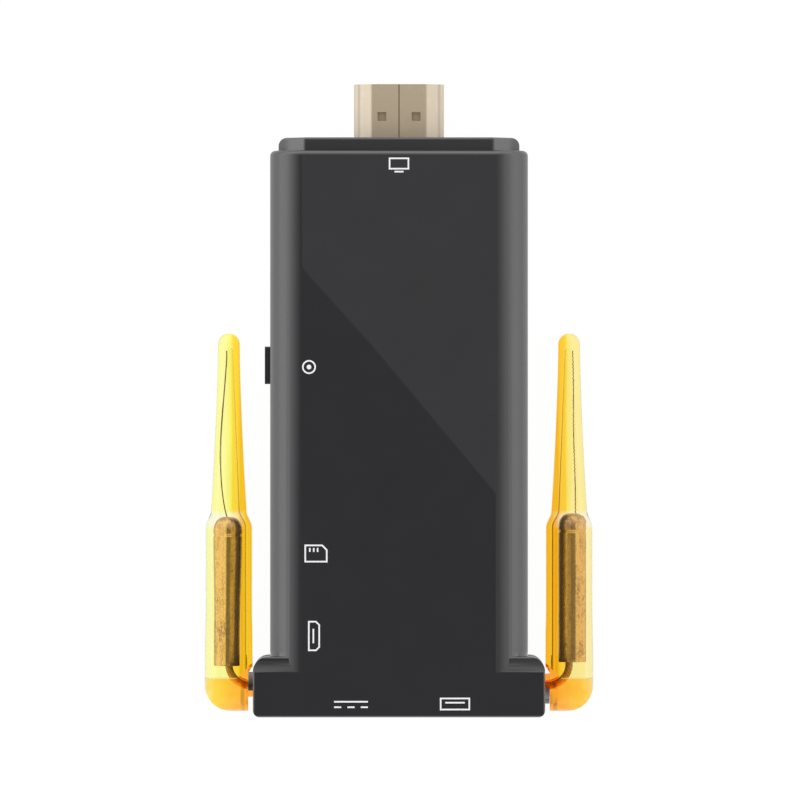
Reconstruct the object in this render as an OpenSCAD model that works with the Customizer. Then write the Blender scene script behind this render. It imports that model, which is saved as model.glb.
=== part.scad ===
/* [Case] */
// Width of the case across its long sides
case_width = 39.8; // [38:0.1:43]
// Length of the case from its foot to the end that holds the collar
case_length = 87.3; // [85:0.1:100]
// Thickness of the case from rear face to front face
case_thickness = 14; // [13.6:0.1:16]
// Thickness of the moulded walls
wall = 1.2; // [1:0.05:1.5]
// Radius along the two long front edges
front_edge_radius = 5; // [3:0.1:6]
// Radius along the two long rear edges
rear_edge_radius = 3; // [2.2:0.1:4]
// Rounding where the sides turn into the end
end_rounding = 0.8; // [0.3:0.1:1]
// Height of the joint between the rear shell and the front shell
parting_height = 7; // [6.8:0.1:7.4]
// Depth of the locating rim below the joint
rim_depth = 1; // [0.6:0.1:1.4]
// Thickness of the locating rim
rim_thickness = 0.6; // [0.4:0.1:0.8]

/* [Base bar] */
// Width of the cross-bar at the foot
bar_width = 45; // [44:0.1:48]
// Length of the bar's side faces, along the case
bar_height = 9.3; // [8.8:0.1:11]
// Radius of the bar's upper outer corners, seen from the front
bar_shoulder_corner = 2.3; // [1:0.1:3]
// Radius of the bar's lower outer corners, seen from the front
bar_foot_corner = 1.1; // [0.6:0.1:2]
// Width of the low ledge along the bar's upper edge, with the hollow curve that ends it
ledge_run = 2.4; // [1.5:0.1:3]
// Depth of the ledge below the front face
ledge_drop = 0.45; // [0.2:0.05:0.8]
// How far the hollow curve runs from the ledge up to the front face
cove_run = 2.1; // [1:0.1:2.4]
// Rounding along the bar's edges
bar_edge_radius = 0.3; // [0.2:0.1:0.8]

/* [Collar] */
// Height of the collar above the end of the case
collar_height = 2; // [1.4:0.1:3]
// Width of the slopes along the collar's front face
collar_slope_width = 4; // [3:0.1:4.5]
// Height of the slopes along the collar's front face
collar_slope_height = 3.6; // [2.5:0.1:4]
// Radius of the bends beside the slopes
collar_bend = 0.8; // [0.4:0.1:1.2]
// Radius of the collar's corners, seen from the front
collar_corner = 1.3; // [0.8:0.1:1.8]
// Bevel along the edges of the collar's outer end
collar_bevel = 0.3; // [0.2:0.05:0.5]
// Depth of the collar's skirt inside the case
collar_skirt = 2.6; // [2.2:0.1:3]
// Width of the collar's locating rib
collar_rib = 0.8; // [0.6:0.1:1]
// How far the locating rib stands out of the skirt
collar_rib_height = 0.5; // [0.3:0.05:0.6]
// Thickness of the collar's end plate
collar_plate = 1.5; // [1:0.1:1.8]
// Thickness of the collar's skirt
collar_wall = 1; // [0.8:0.1:1.2]

/* [Video plug] */
// Width of the plug's metal shell
plug_width = 13.9; // [13.5:0.05:14.2]
// Thickness of the plug's metal shell
plug_thickness = 4.45; // [4.3:0.05:4.6]
// Width of the plug's narrow face
plug_narrow_width = 8.5; // [8:0.1:10]
// Height of the plug's upright sides, from the wide face
plug_side_height = 2.5; // [2:0.1:3]
// How far the plug stands out of the collar
plug_reach = 8.3; // [7:0.1:12]
// Length of the plug's shell behind the collar
plug_tail = 9; // [8:0.1:10]
// Thickness of the plug's sheet metal
plug_sheet = 0.3; // [0.2:0.05:0.4]
// Rounding of the plug's long bends
plug_bend = 0.7; // [0.3:0.05:0.8]
// Side of each square latch hole
latch_hole = 1.35; // [1:0.05:1.8]
// Distance between the two latch holes
latch_spacing = 5.28; // [4.5:0.05:6]
// Distance of the latch holes from the plug's tip
latch_setback = 5; // [4:0.1:6]
// Height of the slot between the two rows of contacts
plug_slot = 1.5; // [1.2:0.05:1.8]
// Width of the slot between the two rows of contacts
plug_slot_width = 11.4; // [11:0.1:11.6]
// Contacts in the longer row
plug_contacts = 10; // [6:1:11]
// Distance from one contact to the next
plug_contact_pitch = 1; // [0.8:0.05:1]
// Width of one contact
plug_contact_width = 0.45; // [0.3:0.05:0.6]
// Distance of the insulator's front face behind the plug's tip
plug_body_setback = 0.6; // [0.4:0.1:1]
// Distance of the contacts' front ends behind the plug's tip
plug_contact_setback = 1.2; // [1:0.1:2]
// Length of the contacts behind the insulator, towards the board
plug_contact_tail = 0.8; // [0.4:0.1:1]
// Thickness of the contact strips in the plug and the sockets
contact_sheet = 0.12; // [0.08:0.01:0.18]

/* [Data socket] */
// Place of the data socket's middle, across the case
data_x = 8.6; // [7:0.1:9]
// Clear width of the data socket
data_clear_width = 12.5; // [12.3:0.05:12.8]
// Clear height of the data socket
data_clear_height = 5.12; // [5:0.02:5.3]
// Depth of the data socket's shell
data_depth = 14; // [12:0.1:14.4]
// Thickness of the data socket's sheet metal
data_sheet = 0.3; // [0.2:0.05:0.4]
// Thickness of the data socket's tongue
data_tongue = 1.84; // [1.6:0.02:2]
// Width of the data socket's tongue
data_tongue_width = 11.1; // [10.5:0.1:11.4]
// Distance of the tongue's front edge behind the mouth
data_tongue_setback = 1; // [0.5:0.1:2]
// Clear height above the tongue
data_tongue_drop = 0.75; // [0.5:0.05:1]
// Length of the insulating block that closes the data socket's rear
data_block = 3; // [2:0.1:4]
// Distance of the contacts' front ends behind the tongue's edge
data_contact_setback = 0.6; // [0.4:0.1:1]
// Distance of the data and small sockets' mouths behind the case's face
socket_recess = 0.2; // [0.1:0.05:0.4]
// Contacts on the tongue
data_contacts = 4; // [2:1:5]
// Distance from one data contact to the next
data_contact_pitch = 2.3; // [2:0.1:2.5]
// Width of one data contact
data_contact_width = 1; // [0.6:0.1:1.4]

/* [Small sockets] */
// Place of the power socket's middle, across the case
power_x = -7.5; // [-8:0.1:-5]
// Distance of the side socket's middle above the foot
side_socket_up = 13.95; // [13.9:0.05:14.1]
// Width of the small sockets' shells
small_width = 7.5; // [7.4:0.05:7.7]
// Height of the small sockets' shells
small_height = 2.45; // [2.4:0.05:2.6]
// Depth of the small sockets' shells
small_depth = 5; // [4.6:0.1:5.4]
// Thickness of the small sockets' sheet metal
small_sheet = 0.25; // [0.2:0.05:0.3]
// Slope of the small sockets' lower corners
small_corner = 0.7; // [0.5:0.05:0.9]
// Width of the small sockets' tongue
small_tongue_width = 3.7; // [3.4:0.1:4]
// Thickness of the small sockets' tongue
small_tongue = 0.65; // [0.5:0.05:0.8]
// Height of the tongue's underside above the middle of the small sockets
small_tongue_lift = 0.1; // [0:0.05:0.15]
// Distance of the tongue's front edge behind the small sockets' mouths
small_tongue_setback = 0.7; // [0.5:0.1:1]
// Length of the insulating block that closes the small sockets' rears
small_block = 1.2; // [1:0.1:1.6]
// Distance of the small contacts' front ends behind the tongue's edge
small_contact_setback = 0.3; // [0.2:0.1:0.6]
// Contacts in each small socket
small_contacts = 5; // [3:1:5]
// Distance from one small contact to the next
small_contact_pitch = 0.65; // [0.6:0.05:0.7]
// Width of one small contact
small_contact_width = 0.3; // [0.2:0.05:0.4]

/* [Card socket] */
// Clearance between the card socket and the side socket
card_gap = 0.4; // [0.3:0.1:1]
// Width of the card socket's base
card_base_width = 14; // [13.6:0.1:14.2]
// Depth of the card socket's base, from its mouth inwards
card_base_depth = 14.4; // [13.5:0.1:14.5]
// Thickness of the card socket's floor
card_floor = 0.4; // [0.3:0.05:0.6]
// Clear width for the card
card_clear_width = 11.3; // [11.2:0.05:12]
// Clear height for the card
card_clear_height = 1.05; // [0.9:0.05:1.2]
// Thickness of the card socket's cover
card_cover = 0.2; // [0.15:0.05:0.3]
// Thickness of the card socket's back wall
card_back_wall = 1; // [0.6:0.1:1.4]
// Distance of the card socket's mouth behind the case's side
card_recess = 0.4; // [0.3:0.05:0.8]
// Radius of the finger notch in the card socket's cover
card_notch = 2.8; // [2:0.1:3.5]
// Contacts in the card socket
card_contacts = 8; // [6:1:8]
// Distance from one card contact to the next
card_contact_pitch = 1.1; // [1:0.05:1.2]
// Width of one card contact
card_contact_width = 0.6; // [0.4:0.05:0.8]
// Length of one card contact
card_contact_length = 5; // [3:0.1:7]

/* [Function button] */
// Distance of the button's middle above the foot
button_up = 54.2; // [50:0.1:58]
// Length of the button along the case
button_length = 5.8; // [5:0.1:7]
// Height of the button's cap
button_height = 2.2; // [1.6:0.1:2.4]
// How far the button stands out of the side
button_proud = 0.85; // [0.6:0.05:1.2]
// Travel of the button
button_travel = 0.3; // [0.2:0.05:0.4]
// Thickness of the button's inner flange
button_flange = 0.7; // [0.5:0.05:0.8]
// How far the inner flange reaches past the cap
button_flange_reach = 0.5; // [0.3:0.05:0.6]
// Rounding of the button's corners
button_corner = 0.35; // [0.2:0.05:0.5]
// Width of the switch behind the button
switch_width = 4.4; // [4:0.1:5]
// Depth of the switch behind the button
switch_depth = 2.8; // [2.4:0.1:3.2]
// Height of the switch behind the button
switch_height = 2.6; // [2.4:0.1:3]
// Width of the switch's plunger
plunger_width = 1.9; // [1.4:0.1:2.4]
// Height of the switch's plunger
plunger_height = 1; // [0.8:0.1:1.2]
// How far the plunger stands out of the switch
plunger_reach = 1; // [0.8:0.05:1.2]
// Length of the plunger inside the switch
plunger_inside = 0.7; // [0.5:0.05:0.8]
// Room for the spring dome behind the pressed plunger
dome_room = 0.6; // [0.4:0.05:0.7]

/* [Board] */
// Height of the board's underside above the rear face
board_height = 4; // [3.8:0.1:4]
// Thickness of the board
board_thickness = 1; // [0.8:0.05:1.1]
// Clearance between the board's edge and the long walls
board_side_gap = 0.9; // [0.8:0.1:1.2]
// Clearance between the board's edge and the foot wall
board_foot_gap = 0.4; // [0.3:0.1:1]
// Distance of the board's far edge below the end of the case
board_end_gap = 3; // [2.9:0.1:4]
// Radius of the board's corners
board_corner = 1; // [0.5:0.1:2]
// Side of the square processor
processor_size = 13; // [12:0.5:16]
// Height of the processor
processor_height = 1.2; // [0.9:0.1:1.4]
// Thickness of the thermal pad
pad_thickness = 0.5; // [0.4:0.1:1]
// Width of the heat sink
sink_width = 20; // [16:0.5:22]
// Length of the heat sink
sink_length = 33; // [20:0.5:34]
// Distance of the heat sink below the end of the case
sink_end_gap = 10; // [9:0.1:14]
// Thickness of the heat sink's base
sink_base = 1.2; // [0.8:0.1:1.6]
// Height of the heat sink's fins
sink_fin_height = 3.2; // [1.5:0.1:3.4]
// Thickness of one fin
sink_fin = 0.8; // [0.6:0.1:1.2]
// Number of fins
sink_fins = 7; // [4:1:8]
// Place of the wireless module's middle, across the case
module_x = 4; // [3:0.1:4.4]
// Distance of the wireless module's middle above the foot
module_up = 22.4; // [21.5:0.1:23]
// Side of the square wireless module
module_size = 12; // [11:0.1:12.2]
// Height of the wireless module
module_height = 1.8; // [1.4:0.1:2.2]
// Width of one memory chip
memory_width = 7.5; // [7:0.1:8]
// Length of one memory chip
memory_length = 11; // [10:0.1:12]
// Distance between the memory chips' middles, across the case
memory_spacing_x = 12; // [11:0.1:14]
// Distance between the memory chips' middles, along the case
memory_spacing_y = 14; // [13:0.1:16]
// Thickness of the flat chips
chip_height = 0.9; // [0.7:0.05:1.1]
// Radius of the round mark in a chip's corner
chip_mark = 0.35; // [0.2:0.05:0.5]
// Depth of the round mark
chip_mark_depth = 0.1; // [0.05:0.01:0.15]
// Distance of the mark from the chip's edges
chip_mark_inset = 1; // [0.6:0.1:1.5]
// Place of the flash chip's middle, across the case
flash_x = 3; // [2:0.1:4]
// Distance of the flash chip's middle above the foot
flash_up = 36.2; // [36:0.1:38]
// Width of the flash chip
flash_width = 11.5; // [10:0.1:12]
// Length of the flash chip
flash_length = 13; // [12:0.1:14]
// Place of the power chip's middle, across the case
power_chip_x = -12; // [-13:0.1:-8]
// Distance of the power chip's middle above the foot
power_chip_up = 38.8; // [37:0.1:40]
// Side of the square power chip
power_chip_size = 5; // [4:0.1:6]
// Side of one choke
choke_size = 4; // [3:0.1:4.5]
// Height of one choke
choke_height = 1.8; // [1.2:0.1:2.4]
// Height of a choke's square base
choke_base = 0.6; // [0.4:0.1:0.8]
// Distance of a choke's round body inside its base
choke_step = 0.2; // [0.1:0.05:0.4]
// Distance of the capacitor rows from the case's middle line
capacitor_side_x = 12.5; // [12:0.1:13]
// Distance from one capacitor to the next
capacitor_pitch = 2.8; // [2:0.1:3]
// Capacitors in each row
capacitors_in_row = 6; // [3:1:7]
// Length of one capacitor
capacitor_length = 2; // [1.6:0.1:2.4]
// Width of one capacitor
capacitor_width = 1.25; // [0.8:0.05:1.4]
// Length of the crystal
crystal_length = 3.2; // [2.5:0.1:4]
// Width of the crystal
crystal_width = 2.5; // [2:0.1:3]
// Height of the crystal
crystal_height = 0.8; // [0.6:0.1:1]

/* [Case screws] */
// Diameter of the screws' threads
screw_diameter = 1.9; // [1.8:0.05:2.1]
// Length of a screw under its head
screw_length = 9; // [8:0.1:9.5]
// Diameter of the screws' heads
screw_head = 3.5; // [3.2:0.1:3.6]
// Height of the screws' heads
screw_head_height = 1.2; // [1:0.1:1.4]
// How deep the heads sit below the rear face
screw_sink = 0.3; // [0.2:0.1:0.5]
// Span of the cross recess in a screw's head
recess_span = 2.1; // [1.6:0.1:2.4]
// Width of the cross recess
recess_width = 0.45; // [0.3:0.05:0.6]
// Depth of the cross recess
recess_depth = 0.6; // [0.4:0.1:0.8]
// Room past a screw's tip
screw_tip_room = 0.5; // [0.3:0.1:0.8]
// Distance of the outer screws from the case's middle line
screw_side_x = 15.3; // [15:0.1:15.5]
// Distance of the far screws below the end of the case
screw_end_gap = 5.9; // [5.8:0.1:7]
// Distance of the middle screw above the foot
screw_middle_up = 24.8; // [24:0.1:28]
// Distance of the foot screw from the case's middle line
screw_foot_x = 14.3; // [14.2:0.1:14.6]
// Distance of the foot screw above the foot
screw_foot_up = 5.6; // [5.4:0.1:5.8]
// Outer diameter of the rear shell's screw posts
rear_post = 5.8; // [5.6:0.1:5.9]
// Outer diameter of the front shell's screw posts
front_post = 4.4; // [4.2:0.1:4.5]

/* [Vents] */
// Number of vent slots in the rear face
vent_slots = 9; // [3:1:9]
// Length of one vent slot
vent_length = 14; // [8:0.5:16]
// Width of one vent slot
vent_width = 0.9; // [0.6:0.1:1.2]
// Distance from one vent slot to the next
vent_pitch = 2.4; // [2.2:0.1:2.6]

/* [Antenna] */
// Distance of the hinge axis above the foot
hinge_up = 4.75; // [4.7:0.01:4.8]
// Length of an antenna above its hinge axis
antenna_reach = 54.4; // [50:0.1:60]
// Radius of the tube beside the bar
tube_radius = 3.75; // [3.6:0.05:3.9]
// Radius of the tube just below its shoulder
tube_shoulder_radius = 3.6; // [3.5:0.05:3.7]
// Distance of the tube's shoulder above the hinge axis
tube_shoulder_up = 24.2; // [23:0.1:26]
// Height of the tube's shoulder
tube_shoulder_height = 2.8; // [2:0.1:3.5]
// Radius of the taper where it leaves the shoulder
taper_radius = 2.77; // [2.6:0.05:3]
// Radius of the taper at its rounded tip
tip_radius = 1.7; // [1.5:0.05:1.8]
// How the taper swells towards its wide end: 1 is straight
taper_swell = 1.5; // [1:0.1:2]
// Clear radius inside the tube
bore_radius = 2.5; // [2.4:0.05:2.6]
// Clear radius at the wide end of the taper
taper_bore_low = 1.9; // [1.7:0.05:2]
// Clear radius near the tip
taper_bore_high = 0.5; // [0.4:0.05:0.6]
// Distance of the wide bore's end above the shoulder's start
bore_end_up = 1; // [0.6:0.1:1.4]
// Thickness of plastic left at the tip
tip_plug = 2.2; // [1.5:0.1:3]
// Clearance between the tube's flat and the bar
flat_gap = 0.15; // [0.12:0.01:0.2]
// Depth of the flat where the tube passes the bar
flat_depth = 0.1; // [0.08:0.01:0.15]
// Distance of the seam between tube and knuckle above the hinge axis
seam_up = 1.1; // [0.9:0.05:1.3]
// Distance from the tube's middle line to where the seam starts to rise towards the case
ear_start = 1.25; // [1:0.05:1.5]
// How far the seam rises towards the case
ear_rise = 2.3; // [2:0.1:2.5]
// How far the knuckle reaches below the hinge axis
knuckle_drop = 4; // [3.8:0.05:4.1]
// Radius of the knuckle's outer lower corner
knuckle_corner = 4.3; // [3.5:0.1:4.6]
// Clearance between the bar and the knuckle's inner face
hinge_gap = 0.8; // [0.7:0.05:0.9]

/* [Antenna hinge] */
// Radius of the hollow hub that turns in the bar
hub_radius = 1.8; // [1.7:0.05:1.9]
// Radial clearance of the hub in the bar
hub_clearance = 0.06; // [0.03:0.01:0.09]
// Radius of the hub's retaining flange
hub_flange = 2.5; // [2.4:0.05:2.6]
// Radius of the flange's stop sector
stop_radius = 3.15; // [3:0.05:3.2]
// Thickness of the retaining flange
hub_flange_thickness = 1; // [0.8:0.05:1.2]
// Travel of the antenna between its stops, in degrees
antenna_travel = 180; // [150:1:200]
// Width of the fixed stop, in degrees
stop_rib_angle = 18; // [14:1:24]
// Outer radius of the spacer lug on the bar
lug_radius = 2.9; // [2.7:0.05:3]

/* [Antenna inside] */
// Outer radius of the brass sleeve
sleeve_radius = 2.19; // [2.1:0.01:2.25]
// Thickness of the brass sleeve
sleeve_wall = 0.3; // [0.2:0.05:0.35]
// Distance of the sleeve's lower end above the hinge axis
sleeve_up = 3; // [2.8:0.1:3.2]
// Length of the brass sleeve
sleeve_length = 22.2; // [20:0.1:22.3]
// Height of the sleeve's domed end
sleeve_dome = 1.9; // [1.5:0.05:2]
// Radius of the coaxial lead
lead_radius = 0.565; // [0.5:0.005:0.6]
// Radius of the lead's bend at the hinge
lead_bend = 3.2; // [3.1:0.05:3.3]
// Radius of the fine radiating wire
wire_radius = 0.12; // [0.1:0.01:0.16]
// How far the fine wire bows to one side in the left antenna
left_wire_bow = 0.95; // [0.1:0.05:1]
// How far the fine wire bows to one side in the right antenna
right_wire_bow = 0.45; // [0.1:0.05:1]

/* [Clearances] */
// Clearance between the shells and the collar, and between the rim and the rear shell
shell_gap = 0.1; // [0.05:0.01:0.15]
// Clearance round a socket or plug in its opening
port_gap = 0.2; // [0.15:0.05:0.3]
// Clearance round the button's cap and the switch's plunger
slide_gap = 0.1; // [0.06:0.01:0.14]
// Clearance round a screw in its hole
screw_gap = 0.1; // [0.05:0.01:0.15]
// Clearance between pressed plastic and sheet metal
press_gap = 0.03; // [0.02:0.01:0.05]
// Clearance round the lead in its channel through the knuckle
lead_gap = 0.2; // [0.1:0.05:0.25]
// Clearance between a feed cable's ends and what they are joined to
cable_gap = 0.15; // [0.1:0.01:0.2]
// Clearance between the fine wire and the sleeve's end
wire_low_gap = 0.15; // [0.1:0.05:0.3]
// Clearance between the fine wire and the end of the tube's bore
wire_high_gap = 1.2; // [0.8:0.1:2]
// Axial clearance at the hinges
axial_gap = 0.05; // [0.03:0.01:0.1]

/* [Hidden] */
$fn = 48;
// Margin by which a cutter passes the face that it cuts
over = 1;
// How far a post, lug or tongue is rooted in what carries it
root = 0.4;
// Margin at each end of the locating rims, so that they clear the bar and the collar
rim_end_gap = 1;

// Places along the case: the middle of the whole length is at zero
overall_length = case_length + collar_height + plug_reach;
foot_y = -overall_length / 2;
case_end_y = foot_y + case_length;
collar_end_y = case_end_y + collar_height;
plug_tip_y = collar_end_y + plug_reach;
plug_seat_y = collar_end_y - plug_tail;
bar_top_y = foot_y + bar_height;
hinge_y = foot_y + hinge_up;

// Places across the case and up from the rear face
case_half = case_width / 2;
bar_half = bar_width / 2;
inner_half = case_half - wall;
bar_inner_half = bar_half - wall;
hinge_z = parting_height;
board_top = board_height + board_thickness;
board_half = inner_half - board_side_gap;
board_foot_y = foot_y + wall + board_foot_gap;
board_end_y = case_end_y - board_end_gap;

// The ledge sets how high the bar can be hollow
ledge_z = case_thickness - ledge_drop;
bar_cavity_top = ledge_z - wall;

// Video plug, seated on the board
plug_z = board_top + plug_thickness / 2 + press_gap;

// Data socket, seated on the board
data_outer_width = data_clear_width + 2 * data_sheet;
data_outer_height = data_clear_height + 2 * data_sheet;
data_mouth_y = foot_y + socket_recess;
data_back_y = data_mouth_y + data_depth;
data_tongue_z = board_top + data_sheet + data_clear_height - data_tongue_drop - data_tongue;

// Small sockets and card socket
small_tongue_z = small_height / 2 + small_tongue_lift;
side_socket_y = foot_y + side_socket_up;
card_y = side_socket_y + small_width / 2 + card_gap + card_base_width / 2;
card_mouth_x = -case_half + card_recess;
card_height = card_floor + card_clear_height + card_cover;

// Function button and its switch
button_y = foot_y + button_up;
button_z = board_top + switch_height / 2;
flange_outer_x = -inner_half + slide_gap;
flange_inner_x = flange_outer_x + button_flange;
switch_x = flange_inner_x + press_gap + plunger_reach;
plunger_end_x = switch_x + plunger_inside;
pocket_end_x = plunger_end_x + button_travel + slide_gap + dome_room;

// Case screws: places, heights and posts
screw_places = [
    [screw_side_x, case_end_y - screw_end_gap], [-screw_side_x, case_end_y - screw_end_gap],
    [screw_side_x, foot_y + screw_middle_up], [-screw_foot_x, foot_y + screw_foot_up]
];
screw_seat_z = screw_sink + screw_head_height;
screw_tip_z = screw_seat_z + screw_length;
screw_hole = screw_diameter / 2 + screw_gap;

// Places on the board: the processor's neighbours keep to it, and the rest keep to the foot
sink_place = [0, case_end_y - sink_end_gap - sink_length / 2];
pad_z = board_top + processor_height;
sink_z = pad_z + pad_thickness;
module_place = [module_x, foot_y + module_up];
flash_place = [flash_x, foot_y + flash_up];
power_chip_place = [power_chip_x, foot_y + power_chip_up];
crystal_place = sink_place + [15, -6.75];
memory_places = [
    for (x = [-1, 1]) for (y = [-1, 1])
        sink_place + [x * memory_spacing_x / 2, y * memory_spacing_y / 2 - 1]
];
choke_places = [sink_place + [13, -21], sink_place + [13, -15], power_chip_place + [-0.5, 8]];
capacitor_places = [
    for (side = [-1, 1]) for (k = [0:capacitors_in_row - 1])
        [side * capacitor_side_x, sink_place.y + capacitor_pitch * k]
];

// Antenna and hinge
antenna_x = bar_half + flat_gap + tube_radius - flat_depth;
knuckle_face_x = bar_half + hinge_gap;
hub_inner_x = bar_inner_half - axial_gap - hub_flange_thickness;
lead_channel = lead_radius + lead_gap;
lug_length = hinge_gap - axial_gap;
taper_start_up = tube_shoulder_up + tube_shoulder_height;
tip_up = antenna_reach - tip_radius;
sleeve_top_up = sleeve_up + sleeve_length;
wire_low_up = sleeve_top_up + wire_low_gap;
wire_high_up = antenna_reach - tip_plug - wire_high_gap;
lead_top_up = sleeve_top_up - sleeve_wall - shell_gap - lead_gap;

// Reach of the cutters that pass right across an antenna
across = 2 * tube_radius;

// Straight pieces that stand for the taper's curve and the shoulder's curve
taper_steps = 8;
shoulder_steps = 6;

// The two stops leave this much play, in degrees, in all
stop_play = 2;
stop_sector = 360 - antenna_travel - stop_rib_angle - stop_play;
stop_from = (stop_rib_angle + stop_play) / 2 - 90;

// Angles that the spacer lugs span, from the case's end round to its front face
left_lug = [43, 105];
right_lug = [99, 180];

// Feed cables: from the hinges to the foot side and the far side of the wireless module
cable_sides = 8;
cable_steps = 3;
cable_start_x = hub_inner_x - cable_gap;
cable_lie_z = board_top + lead_radius + cable_gap / 2;
left_cable_end = [module_place.x - 3.9, module_place.y - module_size / 2 - cable_gap, cable_lie_z];
right_cable_end = [module_place.x + module_size / 2 + cable_gap, module_place.y - 2.4, cable_lie_z];

function from_foot(x, up, z) = [x, foot_y + up, z];

left_route = [
    [-cable_start_x, hinge_y, hinge_z], [1.1 - cable_start_x, hinge_y, hinge_z],
    from_foot(-17.9, 5.8, 7.2), from_foot(-17.3, 7.8, 8), from_foot(-16.4, 11.2, 8.9),
    from_foot(-13.5, 14.4, 8.8), from_foot(-9, 14.2, 8.1), from_foot(-4.6, 13.2, 6.9),
    from_foot(-1.3, 13.4, 5.95), left_cable_end - [0, 1.2, 0], left_cable_end
];
right_route = [
    [cable_start_x, hinge_y, hinge_z], [cable_start_x - 1.1, hinge_y, hinge_z],
    from_foot(17.8, 5.8, 6.9), from_foot(17.2, 8.2, 6.4), from_foot(16.8, 11.8, 5.8),
    from_foot(15.6, 15.4, 5.66), from_foot(13.4, 17.8, 5.66),
    right_cable_end + [1.35, 0, 0], right_cable_end
];

// Drawing helpers
module soft_rect(half, low, high, low_radius, high_radius) {
    for (s = [-1, 1]) {
        translate([s * (half - low_radius), low + low_radius]) circle(low_radius);
        translate([s * (half - high_radius), high - high_radius]) circle(high_radius);
    }
    translate([-(half - low_radius), low]) square([2 * (half - low_radius), high - high_radius - low]);
    translate([-half, low + low_radius]) square([2 * half, high - high_radius - low - low_radius]);
    translate([-(half - high_radius), low + low_radius])
        square([2 * (half - high_radius), high - low - low_radius]);
}

module case_section(inset) {
    soft_rect(
        case_half - inset, inset, case_thickness - inset,
        rear_edge_radius - inset, front_edge_radius - inset
    );
}

module along_y(low, high) {
    translate([0, high, 0]) rotate([90, 0, 0]) linear_extrude(high - low) children();
}

module along_x(low, high) {
    translate([low, 0, 0]) rotate([90, 0, 90]) linear_extrude(high - low) children();
}

module box(low, high) {
    translate(low) cube(high - low);
}

module rod_x(radius, low, high) {
    translate([low, 0, 0]) rotate([0, 90, 0]) cylinder(r = radius, h = high - low);
}

// The case without its bar, rounded at the far end too
module case_body() {
    round_y = case_end_y - end_rounding;
    hull() for (s = [-1, 1]) for (front = [0, 1]) {
        radius = front == 1 ? front_edge_radius : rear_edge_radius;
        z = front == 1 ? case_thickness - radius : radius;
        translate([s * (case_half - radius), round_y, z]) rotate([90, 0, 0]) {
            cylinder(r = radius, h = round_y - foot_y - bar_height / 3);
            rotate_extrude() translate([radius - end_rounding, 0]) circle(end_rounding, $fn = 24);
        }
    }
}

// A block seen from the side, from the foot as far as the given place and height
module side_block(end_y, height) {
    rotate(-90) translate([-height / 2, 0])
        soft_rect(height / 2, foot_y, end_y, bar_edge_radius, bar_edge_radius);
}

// The bar seen from the side: foot at the left, front face on top
module bar_profile() {
    crease_y = bar_top_y - ledge_run;
    cove_radius = (cove_run * cove_run + ledge_drop * ledge_drop) / (2 * ledge_drop);
    intersection() {
        union() {
            translate([foot_y, 0]) square([crease_y - foot_y, case_thickness]);
            side_block(bar_top_y, ledge_z);
            difference() {
                translate([crease_y - root, ledge_z - root])
                    square([cove_run + root, ledge_drop + root]);
                translate([crease_y + cove_run, ledge_z + cove_radius])
                    circle(cove_radius, $fn = 144);
            }
        }
        side_block(bar_top_y + 2 * over, case_thickness);
    }
}

module bar_block() {
    intersection() {
        linear_extrude(case_thickness)
            soft_rect(bar_half, foot_y, bar_top_y, bar_foot_corner, bar_shoulder_corner);
        along_x(-bar_half - over, bar_half + over) bar_profile();
        along_y(foot_y - over, bar_top_y + over)
            soft_rect(bar_half, 0, case_thickness, bar_edge_radius, bar_edge_radius);
    }
}

module case_block() {
    case_body();
    bar_block();
}

module case_hollow() {
    along_y(foot_y + wall, case_end_y + over) case_section(wall);
    box(
        [-bar_inner_half, foot_y + wall, wall],
        [bar_inner_half, bar_top_y - wall, bar_cavity_top]
    );
}

// Everything that opens the shells for a socket, the card, the button or the hinges
module port_openings() {
    data_half = data_outer_width / 2 + port_gap;
    box(
        [data_x - data_half, foot_y - over, board_top - port_gap],
        [data_x + data_half, foot_y + wall + over, board_top + data_outer_height + port_gap]
    );
    small_half = small_width / 2 + port_gap;
    box(
        [power_x - small_half, foot_y - over, board_top - port_gap],
        [power_x + small_half, foot_y + wall + over, board_top + small_height + port_gap]
    );
    box(
        [-case_half - over, side_socket_y - small_half, board_top - port_gap],
        [-inner_half + rim_thickness + over, side_socket_y + small_half,
            board_top + small_height + port_gap]
    );
    box(
        [-case_half - over, card_y - card_base_width / 2 - port_gap, board_top - port_gap],
        [-inner_half + rim_thickness + over, card_y + card_base_width / 2 + port_gap,
            board_top + card_height + port_gap]
    );
    button_half = button_length / 2 + slide_gap;
    box(
        [-case_half - over, button_y - button_half, button_z - button_height / 2 - slide_gap],
        [-inner_half + over, button_y + button_half, button_z + button_height / 2 + slide_gap]
    );
}

module hinge_bores() {
    for (s = [-1, 1]) translate([0, hinge_y, hinge_z])
        rod_x(
            hub_radius + hub_clearance,
            s > 0 ? bar_inner_half - over : -bar_half - hinge_gap - over,
            s > 0 ? bar_half + hinge_gap + over : -bar_inner_half + over
        );
}

// A disc's sector between two angles: the cutter's corners lie outside the disc
module sector(radius, from, to) {
    steps = 12;
    intersection() {
        circle(radius);
        polygon(concat([[0, 0]], [
            for (k = [0:steps])
                let (a = from + (to - from) * k / steps) 2 * radius * [cos(a), sin(a)]
        ]));
    }
}

// A spacer lug on the bar, which stands in front of the hub
module spacer_lug(s, angles) {
    low = s > 0 ? bar_half - root : -bar_half - lug_length;
    translate([0, hinge_y, hinge_z]) along_x(low, low + root + lug_length)
        sector(lug_radius, angles[0], angles[1]);
}

module locating_rim() {
    low = bar_top_y + rim_end_gap;
    high = case_end_y - collar_skirt - rim_end_gap;
    for (s = [-1, 1]) {
        near = inner_half - shell_gap - rim_thickness;
        far = inner_half - shell_gap;
        box(
            [s > 0 ? near : -far, low, parting_height - rim_depth],
            [s > 0 ? far : -near, high, parting_height]
        );
        box(
            [s > 0 ? near : -inner_half - root, low, parting_height],
            [s > 0 ? inner_half + root : -near, high, parting_height + rim_depth]
        );
    }
}

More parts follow.
